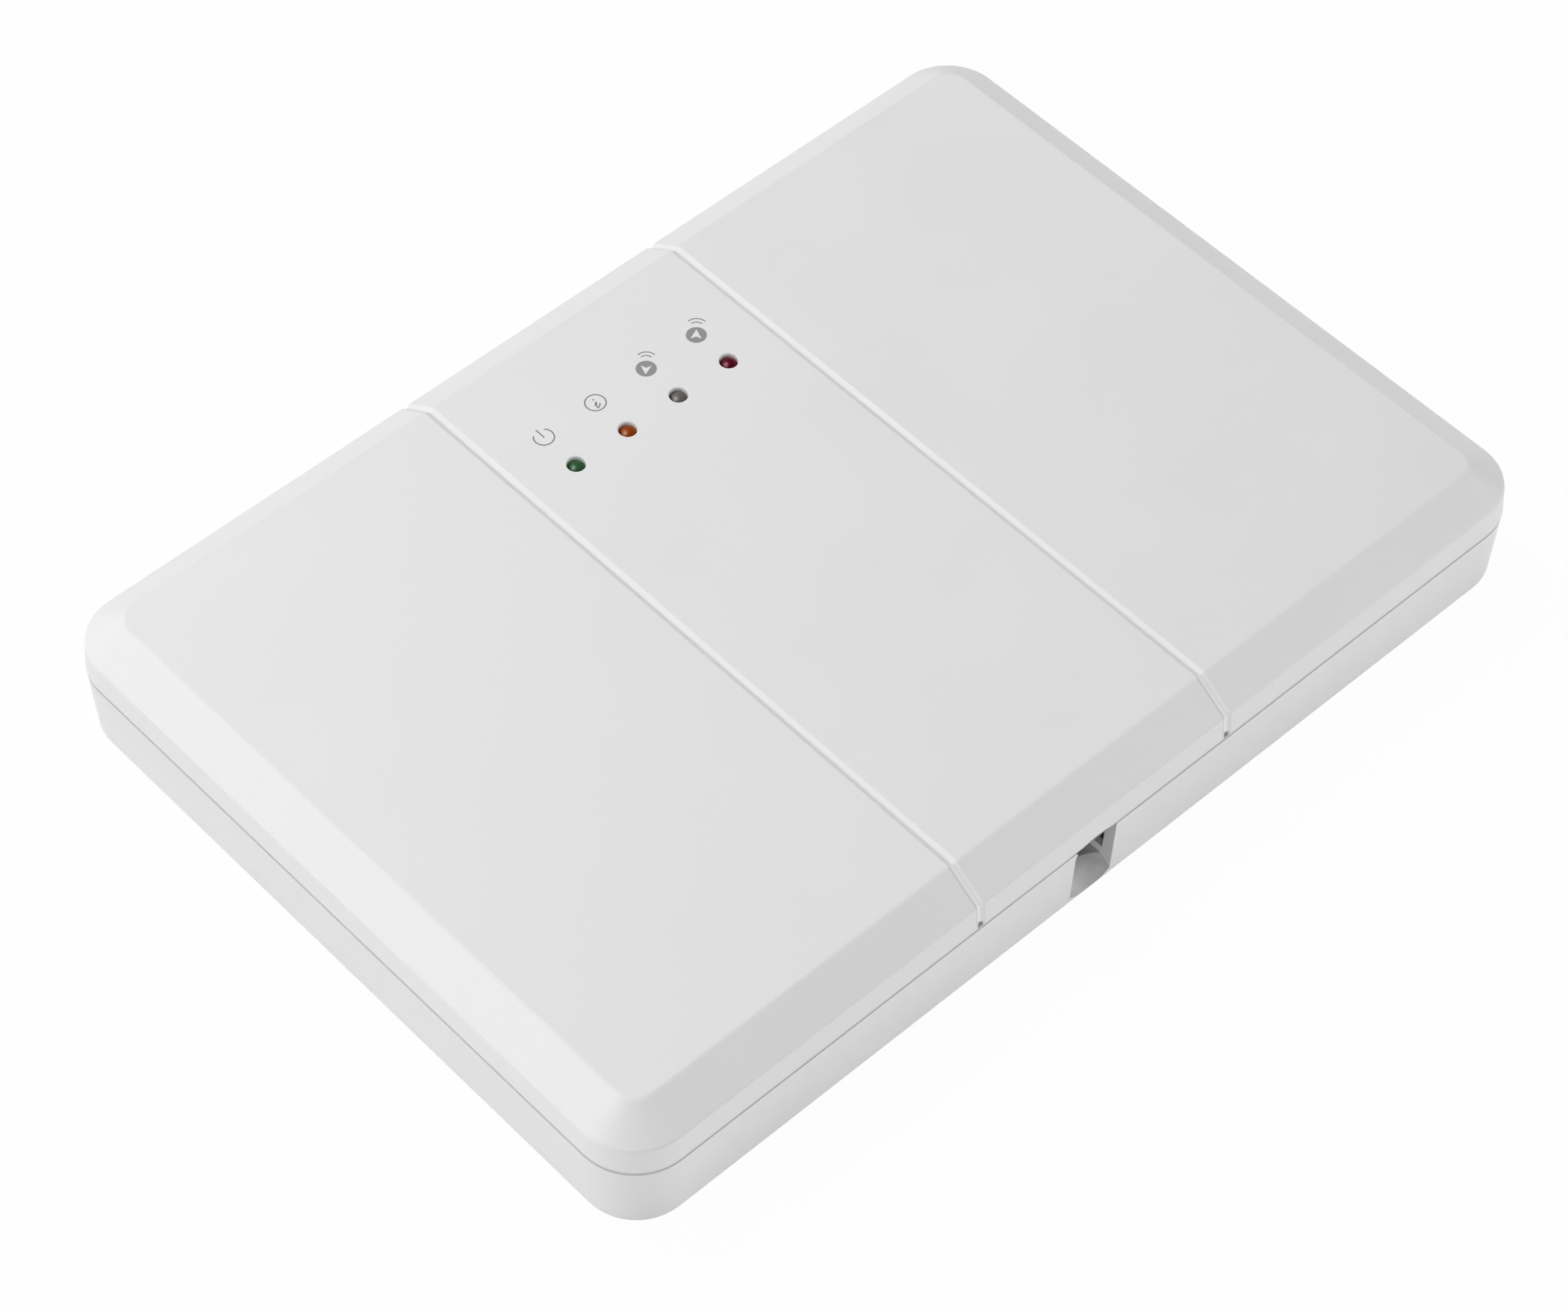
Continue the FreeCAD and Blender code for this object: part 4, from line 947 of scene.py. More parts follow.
def makeSeamLedge(look):
    length, width, corner = look["ledge"]
    low, high = look["ledgeZ"]

    def loop(inset):
        # round the corners counter-clockwise from the entry's right end to its left end
        points = [(look["entry"][1], -(width - inset))]
        for sx, sy, start in ((1, -1, -90), (1, 1, 0), (-1, 1, 90), (-1, -1, 180)):
            cx, cy = sx * (length - corner), sy * (width - corner)
            points += arcPoints(cx, cy, corner - inset, start, start + 90, 12)
        return points + [(look["entry"][0], -(width - inset))]

    def build(bm):
        sides = list(zip(loop(look["ledgeDeep"]), loop(0.0)))
        addSheet(bm, *([[(x, y, z) for x, y in row] for row in sides] for z in (high, low)))

    # painted shade: the ledge in the gap between the shells is grey for the shade there
    makePiece("seamLedge", build, "ledgeShadeGrey")


makeGrooveLinings(liningLook)
makeSeamLedge(liningLook)
print("linings: grooves and parting line")


# printed pictograms on the front
frontTop = boxOf("front_cover")[1].z

pictograms = {
    "row": 45.25,  # distance up from the middle of the front
    "spots": (-17.10, -5.80, 5.50, 16.80),
    "thick": 0.012,
    "line": 0.22,
    "ring": 1.74,
    "ringOpen": (132, 408),  # the power ring runs between these angles
    "stroke": (-0.08, 2.12),
    "infoRing": 1.79,
    "point": (0.14, 0.72, 0.16),  # the dot of the letter: place and radius
    "letter": (((-0.50, -0.52), (-0.20, -0.24), (0.16, 0.14)),
               ((0.20, 0.10), (-0.06, -0.34), (-0.34, -0.76), (-0.46, -1.02), (-0.36, -1.16), (-0.12, -1.12),
                (0.20, -0.88), (0.52, -0.56))),
    "letterWidths": (0.17, 0.20),
    "disc": 1.78,
    "arrows": (((-0.94, -0.89), (1.19, -0.14), (0.14, 0.14), (-0.20, 1.21)),
               ((0.89, 0.98), (-1.29, 0.06), (-0.25, -0.24), (0.11, -1.21))),
    "waves": ((1.725, 1.233, 45.6), (1.876, 1.88, 49.8)),  # how far out, radius, half angle
    "waveLine": 0.198,
    "waveWays": (48.0, 46.5),
}


def discSign(bm, x, y, radius, arrow, thick):
    # a filled disc with the arrow left bare
    outer = [Vector((px, py, 0)) for px, py in circle(x, y, radius, 48)]
    inner = [Vector((x + px, y + py, 0)) for px, py in arrow]
    points, count = outer + inner, len(outer)
    low, high = (verts(bm, [(p.x, p.y, z) for p in points]) for z in (frontTop, frontTop + thick))
    for a, b, c in tessellate_polygon([outer, inner]):
        flat = (points[b] - points[a]).cross(points[c] - points[a]).z
        order = (a, b, c) if flat > 0 else (a, c, b)
        bm.faces.new([high[i] for i in order])
        bm.faces.new([low[i] for i in reversed(order)])
    skin(bm, low[:count], high[:count])
    skin(bm, high[count:], low[count:])


def makePictograms(look):
    xs, y, thick, line = look["spots"], look["row"], look["thick"], look["line"]

    def lines(bm):
        # power: an open ring with a stroke in its gap
        addStroke(bm, arcPoints(xs[0], y, look["ring"], *look["ringOpen"], 44), line, frontTop, thick)
        addStroke(bm, [(xs[0], y + end) for end in look["stroke"]], line, frontTop, thick)
        # information: the letter's stem is slanted script with a hooked foot
        addStroke(bm, circle(xs[1], y, look["infoRing"], 45), line, frontTop, thick, closed=True)
        px, py, radius = look["point"]
        addPlate(bm, circle(xs[1] + px, y + py, radius, 12), frontTop, thick)
        for part, width in zip(look["letter"], look["letterWidths"]):
            addStroke(bm, [(xs[1] + px, y + py) for px, py in part], width, frontTop, thick)
        # receive and transmit: two arcs of signal up to the right of each disc
        for x, way in zip(xs[2:], look["waveWays"]):
            for out, radius, half in look["waves"]:
                ax, ay = x + out * math.cos(math.radians(way)), y + out * math.sin(math.radians(way))
                arc = arcPoints(ax, ay, radius, way - half, way + half, 16)
                addStroke(bm, arc, look["waveLine"], frontTop, thick)

    def discs(bm):
        for x, arrow in zip(xs[2:], look["arrows"]):
            discSign(bm, x, y, look["disc"], arrow, thick)

    makePiece("printLines", lines, "lineInk", body="cover")
    makePiece("printDiscs", discs, "discInk", body="cover")


makePictograms(pictograms)
print("pictograms: power, information, receive and transmit")


# indicator lamps
lampLook = {
    "rim": 1.58,
    "dome": 1.15,
    "flange": 1.9,
    "flangeHeight": 1.0,
    "softEdge": (0.12, 0.06),  # rounding of the flange and of the rim's foot
    "sink": 0.25,  # how far the lens stays below the front
    "steps": 14,
    "segments": 48,
    "colours": {  # at the middle, in the painted shade low at the rim, and in the painted highlight
        "green": ((0.031, 0.105, 0.042, 1), (0.006, 0.022, 0.010, 1), (0.20, 0.34, 0.26, 1)),
        "orange": ((0.30, 0.052, 0.004, 1), (0.10, 0.012, 0.003, 1), (0.55, 0.32, 0.22, 1)),
        "clear": ((0.15, 0.14, 0.13, 1), (0.055, 0.050, 0.046, 1), (0.42, 0.41, 0.40, 1)),
        "red": ((0.105, 0.003, 0.013, 1), (0.020, 0.001, 0.003, 1), (0.36, 0.17, 0.18, 1)),
    },
    "highlightPlace": (-0.50, -0.10, 0),  # the painted highlight: its place from the axis, in lens radii
    "highlightRadius": 0.36,
    "shade": (-0.69, -0.73, 0),  # which way the painted shade at the rim lies
    "ring": ((1.54, 23.28), (1.632, 23.20), (1.632, 23.70), (1.60, 23.70), (1.54, 23.38)),
}


def makeLensGroup():
    # a tinted dome with painted shade low down and at the rim on one side, and a painted highlight where the key
    # light reflects
    group, start, end = newTree("ShaderNodeTree", "tintedLens", {
        "Coords": (0, 0, 0), "Axis": (0, 0, 0), "Middle": (0.5, 0.5, 0.5, 1), "Edge": (0.1, 0.1, 0.1, 1),
        "Highlight Colour": (0.6, 0.6, 0.6, 1), "Highlight Place": (-0.6, -0.3, 0), "Highlight Radius": 0.5, "Shade": (-0.7, -0.7, 0),
        "Radius": 0.0015, "Top": 0.02425}, {"Colour": "Color", "Haze": "Float"})

    def distance(x, y):
        return maths("SQRT", plus(times(x, x), times(y, y)))

    away = result(group, "ShaderNodeVectorMath", {0: start["Coords"], 1: start["Axis"]}, operation="SUBTRACT")
    x, y, z = split(away)
    x, y = (maths("DIVIDE", v, start["Radius"]) for v in (x, y))
    way = split(start["Shade"])
    # painted shade: darker at the rim on one side and low in the dome
    towards = plus(times(x, way[0]), times(y, way[1]))
    shaded = times(ramp(distance(x, y), 0.72, 0.86), ramp(towards, -0.35, 0.25))
    depth = maths("DIVIDE", minus(start["Top"], z), start["Radius"])
    toned = mixColour(maths("MAXIMUM", shaded, ramp(depth, 0.6, 1.2)), start["Middle"], start["Edge"])
    # painted highlight where the key light reflects
    spot = split(start["Highlight Place"])
    apart = maths("DIVIDE", distance(minus(x, spot[0]), minus(y, spot[1])), start["Highlight Radius"])
    feed(mixColour(ramp(apart, 0.1, 1.0, 0.85, 0.0), toned, start["Highlight Colour"]), end["Colour"])
    feed(noise(start["Coords"], 1400.0), end["Haze"])
    return group


tintedLens = makeLensGroup()


def lensMaterial(name, colours, x, y, look):
    material, shader, texture = newMaterial(name)
    lens = useGroup(tintedLens, texture["Object"], {
        "Axis": (x * mm, y * mm, 0), "Middle": colours[0], "Edge": colours[1], "Highlight Colour": colours[2],
        "Highlight Place": look["highlightPlace"], "Highlight Radius": look["highlightRadius"], "Shade": look["shade"],
        "Radius": look["rim"] * mm, "Top": (frontTop - look["sink"]) * mm})
    haze = ramp(lens["Haze"], 0.3, 0.7, 0.14, 0.22)
    feedAll(shader, {"Base Color": lens["Colour"], "Roughness": haze, "IOR": 1.5, "Specular IOR Level": 0.14})
    return material


def makeLamps(look):
    rim, flange, steps = look["rim"], look["flange"], look["steps"]
    edge, foot = look["softEdge"]
    for name, colours in look["colours"].items():
        low, _, middle = boxOf("lamp_" + name)
        seat = low.z + look["flangeHeight"]
        top = frontTop - look["sink"] - look["dome"]
        profile = [(0, low.z), (flange, low.z), (flange, seat - edge), (flange - edge, seat), (rim + foot, seat),
                   (rim, seat + foot)]
        for i in range(steps + 1):
            a = math.pi / 2 * i / steps
            profile.append((rim * math.cos(a) if i < steps else 0, top + look["dome"] * math.sin(a)))
        centre = (middle.x, middle.y, 0)
        looks["lens" + name] = lensMaterial("lens" + name.capitalize(), colours, middle.x, middle.y, look)
        lens = makePiece(name + "Lens", lambda bm: addLathe(bm, profile, look["segments"], centre), "lens" + name,
                         smooth=True)
        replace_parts(lens, "lamp_" + name)
        # painted light: a ring at the lens's edge, pale in the lens's tint, stands in for light that comes through
        # the lens onto the hole's wall
        makePiece(name + "Ring", lambda bm: addLathe(bm, look["ring"], look["segments"], centre, True),
                  "ring" + name.capitalize(), "cover")


makeLamps(lampLook)
print("lamps: four domed lenses")


# screws
boardHoles = [(x, y) for x in (-37, 25.5, 88) for y in (-42, 42)]
boardTop = boxOf("main_board")[1].z

screwLook = {
    "head": 2.6,
    "headHeight": 1.9,
    "shank": 1.25,
    "tip": (-4.9, -4.2),  # where the shank ends, and where it starts to narrow
    "recess": 0.62,
    "recessReach": 1.55,
    "recessDepth": 1.15,
    "recessTaper": (0.55, 0.75),
    "wobble": 1.4,  # how far each may be turned, in radians
    "seed": 5,
}


def crossHead(look):
    # a pan head with a cross recess, cut from a turned blank
    r, h, shank = look["head"], look["headHeight"], look["shank"]
    tip, shoulder = look["tip"]

    def blank(bm):
        stem = [(0, tip), (shank / 2, tip), (shank, shoulder), (shank, 0), (r * 0.97, 0), (r, 0.08), (r, h * 0.45)]
        turns = [math.pi / 2 * i / 7 for i in range(1, 7)]
        dome = [(r * (0.72 + 0.28 * math.cos(a)), h * (0.45 + 0.5 * math.sin(a))) for a in turns]
        addLathe(bm, stem + dome + [(r * 0.7, h * 0.95), (r * 0.35, h * 0.985), (0, h)], 40)

    def cross(bm):
        levels = ((h - look["recessDepth"], look["recessTaper"]), (h + 0.3, (1, 1)))
        for quarter in (False, True):
            rings = []
            for z, (along, across) in levels:
                x, y = look["recessReach"] * along, look["recess"] / 2 * across
                corners = [(-x, -y), (x, -y), (x, y), (-x, y)]
                rings.append([(-b, a, z) if quarter else (a, b, z) for a, b in corners])
            addStack(bm, rings)

    head, cutter = stamp("screwBlank", blank), stamp("screwCross", cross)
    cut = head.modifiers.new("cut", "BOOLEAN")
    cut.object = cutter
    cut.operation = "DIFFERENCE"
    cut.solver = "EXACT"
    cut.use_self = True
    made = evaluated(head)
    head.modifiers.clear()
    bpy.data.objects.remove(cutter)
    head.data = made
    return head


def makeScrews(look):
    shape = crossHead(look)
    low, high, middle = boxOf("strap_screws")
    strapHoles = [(middle.x, low.y + look["head"]), (middle.x, high.y - look["head"])]
    values = {"Shape": shape, "Wobble": look["wobble"], "Seed": look["seed"]}
    rows = (("boardScrews", "board_screws", boardHoles), ("strapScrews", "strap_screws", strapHoles))
    for name, node, seats in rows:
        under = boxOf(node)[1].z - look["headHeight"]
        made = grow(name, spots(name, seats, under), copiesTree, values, "zincSteel")
        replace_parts(place(name, made), node)
    bpy.data.objects.remove(shape)


makeScrews(screwLook)
print("screws: eight, each turned its own way")


# main board: tracks, pads, printed outlines
tracks = {
    "thick": 0.035,
    "sink": 0.005,
    "bundles": (  # parallel tracks: how many, pitch, width, and the middle line's corners
        (4, 0.8, 0.3, ((6.6, 6), (-1, 6), (-14, 6), (-17, 9), (-17, 22), (-18.6, 23.6))),
        (6, 0.8, 0.3, ((16.4, 13.3), (16.4, 18), (19.4, 21), (33, 21), (38, 16), (46.5, 16))),
        (5, 0.8, 0.3, ((21.4, 8), (26, 8), (31, 3), (33.6, 0.4), (33.6, -3.8))),
        (5, 0.8, 0.3, ((21.4, 3.2), (24, 3.2), (27, 0.2), (27, -13), (31, -17), (50, -17), (54, -21), (56, -21))),
        (4, 0.8, 0.3, ((10.8, -1.3), (10.8, -2.5), (6, -7.3), (6, -14), (1.5, -18.5), (-11, -18.5), (-16, -23.5),
                       (-20.6, -23.5))),
        (2, 2, 0.3, ((14, -1.3), (14, -5.6))),
        (4, 1.27, 0.35, ((-27, -20.4), (-27, -9.4))),
        (2, 1.6, 0.35, ((-27, -2.8), (-27, 6.4))),
        (3, 0.9, 0.35, ((-27, 13.6), (-27, 17), (-24, 20), (-24, 22.6))),
        (3, 0.9, 0.35, ((-9, 15.9), (-9, 19), (-6, 22), (6, 22), (8, 20), (8, 17))),
        (2, 0.9, 0.35, ((39.6, -4.2), (39.6, 4), (44, 8.4), (47, 8.4))),
        (3, 0.9, 0.35, ((38, -11.9), (38, -14))),
        (1, 1, 0.35, ((-16.95, 34.4), (-16.95, 27.2), (-14.15, 24.4), (7, 24.4), (9.6, 21.8), (9.6, 13.3))),
        (1, 1, 0.35, ((-5.65, 34.4), (-5.65, 27.9), (-2.95, 25.2), (7.6, 25.2), (10.4, 22.4), (10.4, 13.3))),
        (1, 1, 0.35, ((5.65, 34.4), (5.65, 28.95), (11.2, 23.4), (11.2, 13.3))),
        (1, 1, 0.35, ((16.95, 34.4), (16.95, 28.35), (12, 23.4), (12, 13.3))),
        (2, 2.6, 1.6, ((-4.5, -36.6), (-4.5, -31), (-1.5, -28), (19, -28), (23.4, -32.4))),
        (1, 1, 1.8, ((54.6, -36.2), (57.2, -36.2))),
        (1, 1, 1.8, ((66.8, -33), (72, -35.6))),
        (1, 1, 2, ((59.6, -14), (56, -14), (50, -20), (50, -29.6))),
        (1, 1, 2, ((80.4, -14), (84, -17.6), (84, -24), (79.4, -26))),
        (2, 1.2, 0.5, ((76, -24.9), (76, -19), (82.5, -10), (82.5, 5))),
        (1, 1, 0.6, ((-33, 19.6), (-33, 4), (-36, 1), (-36, -30), (-31, -35), (-14, -35))),
        (1, 1, 0.9, ((86.4, -36.6), (84, -39), (80, -39))),
        (1, 1, 0.9, ((-30, 40.2), (-30, 31), (-26, 27))),
    ),
    "pours": (  # areas of copper under the mask, as (x0, x1, y0, y1, corner cut)
        (66, 84, -43.5, -37.2, 1.5), (30, 62, -43.5, -39.4, 1.5), (78, 90.5, -4, 36, 2),
        (-39, -31.5, -33, -27.5, 1), (44, 76, -6.5, 8, 2), (27, 41, 24, 39, 2), (-39.5, -34.5, 5, 18, 1),
        (-12, 4.5, -16, -5.5, 1.5),
    ),
    "pourThick": 0.028,
}


def cutCorners(x0, x1, y0, y1, cut):
    # a rectangle without its corners, counter-clockwise
    return [(x0 + cut, y0), (x1 - cut, y0), (x1, y0 + cut), (x1, y1 - cut), (x1 - cut, y1), (x0 + cut, y1),
            (x0, y1 - cut), (x0, y0 + cut)]


def makeTracks(look):
    middle = boardTop + look["thick"] / 2 - look["sink"]
    made = []
    for count, pitch, width, corners in look["bundles"]:
        path = pathMesh("route", [(x, y, middle) for x, y in corners])
        made.append(grow("tracks", path, tracksTree, {
            "Count": count, "Pitch": pitch * mm, "Width": width * mm, "Thick": look["thick"] * mm}, "trackMask"))

    def pours(bm):
        for area in look["pours"]:
            addPlate(bm, cutCorners(*area), boardTop, look["pourThick"])

    made.append(meshFrom("pours", pours, looks["trackMask"]))
    place("boardTracks", joinMeshes("boardTracks", made, "trackMask"))


makeTracks(tracks)
print("board: %d runs of tracks" % len(tracks["bundles"]))

solder = {
    "ring": ((1.45, 0), (3.25, 0), (3.22, 0.05), (1.45, 0.05)),
    "via": ((0.13, 0), (0.33, 0), (0.30, 0.045), (0.16, 0.045)),
    "viaGap": 2.2,
    "viaSeed": 11,
    "viaFields": (  # free parts of the board, as (x0, x1, y0, y1)
        (-21, -13.5, -15, 4), (-38, -34, -24, -6), (23, 26, -24, -4), (29, 43, 4.5, 14), (56, 82, -9, 7),
        (79, 84, 10, 34), (24, 40, 25, 38), (-11, 4, -15, -6), (-32, -15.5, -43, -30.5), (31, 48, -25, -20),
        (-38.5, -35, 6, 17), (67, 83, -43, -38), (31, 61, -43, -40),
    ),
    "testPad": ((0.65, 0), (0.62, 0.05), (0.3, 0.09), (0, 0.1)),
    "tests": ((-14.5, -30.5), (-14.5, -33), (-14.5, -27.8), (22.5, 27.5), (22.5, 30), (22.5, 32.5), (22.5, 35),
              (58, 4), (60.5, 4), (63, 4), (84.5, -8), (84.5, -5.5)),
}


def turned(profile, segments, ring=False):
    return lambda bm: addLathe(bm, profile, segments, ring=ring)


def makeSolder(look):
    def holeRings(bm):
        for x, y in boardHoles:
            addLathe(bm, look["ring"], 40, (x, y, boardTop), ring=True)

    def fields(bm):
        for x0, x1, y0, y1 in look["viaFields"]:
            bm.faces.new(verts(bm, [(x, y, boardTop) for x, y in ((x0, y0), (x1, y0), (x1, y1), (x0, y1))]))

    makePiece("holeRings", holeRings, "tinPlate")
    shape = stamp("via", turned(look["via"], 10, ring=True))
    place("boardVias", grow("boardVias", meshFrom("viaFields", fields), scatterTree, {
        "Shape": shape, "Gap": look["viaGap"] * mm, "Seed": look["viaSeed"]}, "goldFlash"))
    bpy.data.objects.remove(shape)
    copyPiece("testPads", turned(look["testPad"], 20), look["tests"], boardTop, "goldFlash", smooth=True)


makeSolder(solder)
print("board: hole rings, vias and test pads")

outlines = {
    "line": 0.18,
    "thick": 0.02,
    "rise": 0.02,
    "frames": (  # printed frames round parts: (x, y, length, width)
        (-27, -24, 13.4, 8.6), (-27, -6, 7.6, 7.6), (-27, 10, 9.6, 8), (-20, 24, 9.4, 4.2), (-33, 23.65, 7.6, 9.2),
        (14, -8, 12.6, 6), (76, -30, 8.2, 12), (70, -14, 22, 7.6), (58, 22, 34, 26), (-2, -41.2, 23.6, 9.6),
    ),
    "rings": ((28, -34, 5.6), (39, -34, 5.6), (50, -34, 5.6), (62, -33, 5.3), (-16.95, 37.3, 3), (-5.65, 37.3, 3),
              (5.65, 37.3, 3), (16.95, 37.3, 3)),
    "dots": ((5.9, 14.1), (-11.2, 9), (-11.2, -3), (30.8, -11), (-33.9, -28.6), (-24.9, 21.4)),
    "dot": 0.35,
}


def makeOutlines(look):
    z, thick = boardTop + look["rise"], look["thick"]

    def printed(bm):
        loops = [circle(x, y, radius, 36) for x, y, radius in look["rings"]]
        for x, y, length, width in look["frames"]:
            a, b = length / 2, width / 2
            loops.append([(x - a, y - b), (x + a, y - b), (x + a, y + b), (x - a, y + b)])
        for loop in loops:
            addStroke(bm, loop, look["line"], z, thick, closed=True)
        for x, y in look["dots"]:
            addPlate(bm, circle(x, y, look["dot"], 12), z, thick)

    makePiece("boardPrint", printed, "screenInk")


makeOutlines(outlines)
print("board: printed outlines")


# parts on the main board
passives = {
    "sizes": {  # body length, width, height and end cap length
        "resistor": (2, 1.25, 0.5, 0.4),
        "ceramic": (2, 1.25, 0.9, 0.45),
        "tantalum": (3.5, 2.8, 1.9, 0.5),
    },
    "finishes": {"resistor": "resistorBlack", "ceramic": "ceramicTan", "tantalum": "tantalumOchre"},
    "wobble": 0.02,
    "seed": 4,
    "edge": 0.04,  # the body's lift and bevel
    "cap": (0.015, 0.02, 0.06),  # how far it stands over the body, its lift and its bevel
    "fillet": ((0.42, 0), (0.12, 0.1575), (0, 0.35)),  # the solder's slope from its foot up the end of the cap
    "filletInset": 0.08,
    "resistor": (  # seats are x, y and the turn
        (-19, 12.5, 90), (-21.2, 12.5, 90), (-19, 3, 90), (-21.2, 3, 90), (-13.5, -11, 0), (-13.5, -13.4, 0),
        (-13.5, 19, 0), (2.5, 27.6, 0), (5.8, 27.6, 0), (-16.95, 31.2, 90), (-5.65, 31.2, 90), (5.65, 31.2, 90),
        (16.95, 31.2, 90), (24.2, 12.2, 90), (24.2, -8, 90), (24.2, -10.8, 90), (30.2, -13.4, 0), (42.6, -13.4, 0),
        (44.6, -9.8, 90), (44.6, -6.6, 90), (19.4, -16, 0), (19.4, -18.4, 0), (-36, -22, 90), (-19, -6, 90),
        (-21.2, -6, 90), (-19, -9.6, 90), (78.4, 30, 90), (78.4, 20, 90), (83.5, 24, 90), (33, 28, 0),
        (33, 30.4, 0), (37.2, 30.4, 0), (-28, 16.2, 0), (57, -6.2, 0), (80, -20, 0),
    ),
    "ceramic": (
        (22.6, -0.6, 90), (4.6, -1.8, 0), (23.2, 17, 0), (5.4, 16.4, 0), (-6, 17, 0), (-6, 5.9, 0), (36, -2.9, 0),
        (8, -10.8, 90), (20.6, -10.8, 90), (69.8, -37.2, 0), (82.8, -30, 90), (56.2, -28.4, 90), (66, 6.6, 0),
        (48.2, 6.4, 0), (82.4, 40, 0), (-38.4, -26, 90), (16.2, -38.6, 0), (16.2, -36, 0), (78.4, 14, 90),
    ),
    "tantalum": ((20.2, -32, 90), (40.6, 36.4, 0), (62.4, -24, 0)),
    "transistor": ((-36.2, -10, 90), (-12.6, 28.6, 0), (24.6, 22.6, 0), (46, -1.4, 90), (-14.4, -24.6, 0),
                   (69, 4, 0), (84.6, 14, 90)),
    "case": (-1.45, 1.45, -0.65, 0.65, 0.12, 1.05, 0.1),
    "legAt": ((-0.95, -1), (0.95, -1), (0, 1)),
    "leg": ((0.2, 0.6, 1, 0.45, 0.6, 0), (0.2, 0.95, 1.1, 0.05, 0.6, 0), (0.24, 1, 1.5, 0, 0.14, 0.03)),
    "diode": ((-14.9, -38.6, 90), (12.4, -34.4, 90), (57.4, -8.6, 0), (29.8, -26, 0)),
    "diodeAxis": 0.75,
    "diodeCap": ((0.6, 1.5, 2.1, 0, 0.5, 0.08),),
    "glass": ((0, -1.75), (0.62, -1.75), (0.7, -1.65), (0.7, 1.65), (0.62, 1.75), (0, 1.75)),
    "band": ((0.715, -1.3), (0.715, -0.85), (0.69, -0.85), (0.69, -1.3)),
}


def chipShape(size):
    # a ceramic block with a metal cap at each end, as two builders
    length, width, height, cap = size
    half, edge, (over, lift, bevel) = width / 2, passives["edge"], passives["cap"]
    narrow = half - passives["filletInset"]

    def body(bm):
        reach = length / 2 - cap
        addBox(bm, -reach, reach, -half, half, edge, height, edge)

    def caps(bm):
        for way in (-1, 1):
            end = way * length / 2
            addBox(bm, end - way * cap, end, -half - over, half + over, lift, height + over, bevel)
            fillet = [(end, 0)] + [(end + way * out, rise) for out, rise in passives["fillet"]]
            addStack(bm, [[(x, y, z) for x, z in fillet[::-way]] for y in (-narrow, narrow)])

    return body, caps


def makePassives(look):
    chance = {"wobble": look["wobble"], "seed": look["seed"]}
    ends = []
    for kind, finish in look["finishes"].items():
        body, caps = chipShape(look["sizes"][kind])
        copyPiece(kind + "Bodies", body, look[kind], boardTop, finish, **chance)
        ends.append(copiesMesh(kind + "Caps", caps, look[kind], boardTop, "tinPlate", **chance))
    place("passiveEnds", joinMeshes("passiveEnds", ends, "tinPlate"))


def makeTransistors(look):
    # three-legged and two-legged small signal parts
    def legs(bm):
        for x, way in look["legAt"]:
            addLeg(bm, x, 0, way, look["leg"])

    def lying(profile, ring=False):
        def build(bm):
            addLathe(bm, profile, 20, ring=ring)
            lay = Matrix.Translation((0, 0, look["diodeAxis"] * mm)) @ Matrix.Rotation(math.pi / 2, 4, "Y")
            bmesh.ops.transform(bm, matrix=lay, verts=bm.verts)

        return build

    def caps(bm):
        for way in (-1, 1):
            addLeg(bm, 0, 0, way, look["diodeCap"], sideways=True)

    copyPiece("transistors", lambda bm: addBox(bm, *look["case"]), look["transistor"], boardTop, "chipCase",
              "black_moulding")
    copyPiece("transistorLegs", legs, look["transistor"], boardTop, "tinPlate", "shield_tin")
    copyPiece("diodes", lying(look["glass"]), look["diode"], boardTop, "chipCase", "black_moulding", smooth=True)
    copyPiece("diodeBands", lying(look["band"], ring=True), look["diode"], boardTop, "screenInk")
    copyPiece("diodeCaps", caps, look["diode"], boardTop, "tinPlate", "shield_tin")


makePassives(passives)
makeTransistors(passives)
print("board: resistors, capacitors, transistors and diodes")

chips = {  # heights are from the board; dot: x, y, radius, corners, depth and thickness
    "controller": {
        "node": "controller_chip", "pieces": ("controllerCase", "controllerLeads", "controllerDot"),
        "places": ((14, 6),), "half": (6, 6), "low": 0.25, "high": 1.65, "foot": 6.95, "leads": 12, "pitch": 0.8,
        "width": 0.32, "sides": 4, "turn": 0.0, "dot": (-4.6, 4.6, 0.45, 24, 0.01, 0.02), "ink": "mouldDot",
    },
    "logic": {
        "node": "logic_chips", "pieces": ("logicCases", "logicLeads", "logicDots"),
        "places": ((-6, 12), (-6, 0), (36, -8)), "half": (4, 1.95), "low": 0.15,
        "high": boxOf("logic_chips")[1].z - boardTop, "foot": 2.7, "leads": 6, "pitch": 1.27,
        "width": 0.42, "sides": 2, "turn": math.pi / 2, "dot": (-3.05, -1.1, 0.3, 18, 0.008, 0.014),
        "ink": "screenInk",
    },
}
leadLook = {
    "thick": 0.14,
    "inside": 0.1,  # how far each starts inside the case
    "sole": 0.1,  # the foot's height over the board
}


def leadPath(run, rise, sole):
    # out of the body, down to the board and along it to the foot's end at 0
    bends = ((0, rise), (0.3, rise), (0.42, rise * 0.82), (0.5, rise * 0.3), (0.62, sole), (1, sole))
    return newObject("leadPath", pathMesh("leadPath", [((along - 1) * run, 0, z) for along, z in bends]))


def addCase(bm, x, y, halfX, halfY, low, high):
    # a moulded case that narrows above and below its leads
    middle, cut, slope, flat = (low + high) / 2, 0.3, 0.16, 0.06
    rings = []
    for inset, z in ((slope, low), (0, middle - flat), (0, middle + flat), (slope, high)):
        a, b = halfX - inset, halfY - inset
        rings.append([(px, py, z) for px, py in cutCorners(x - a, x + a, y - b, y + b, cut)])
    addStack(bm, rings)


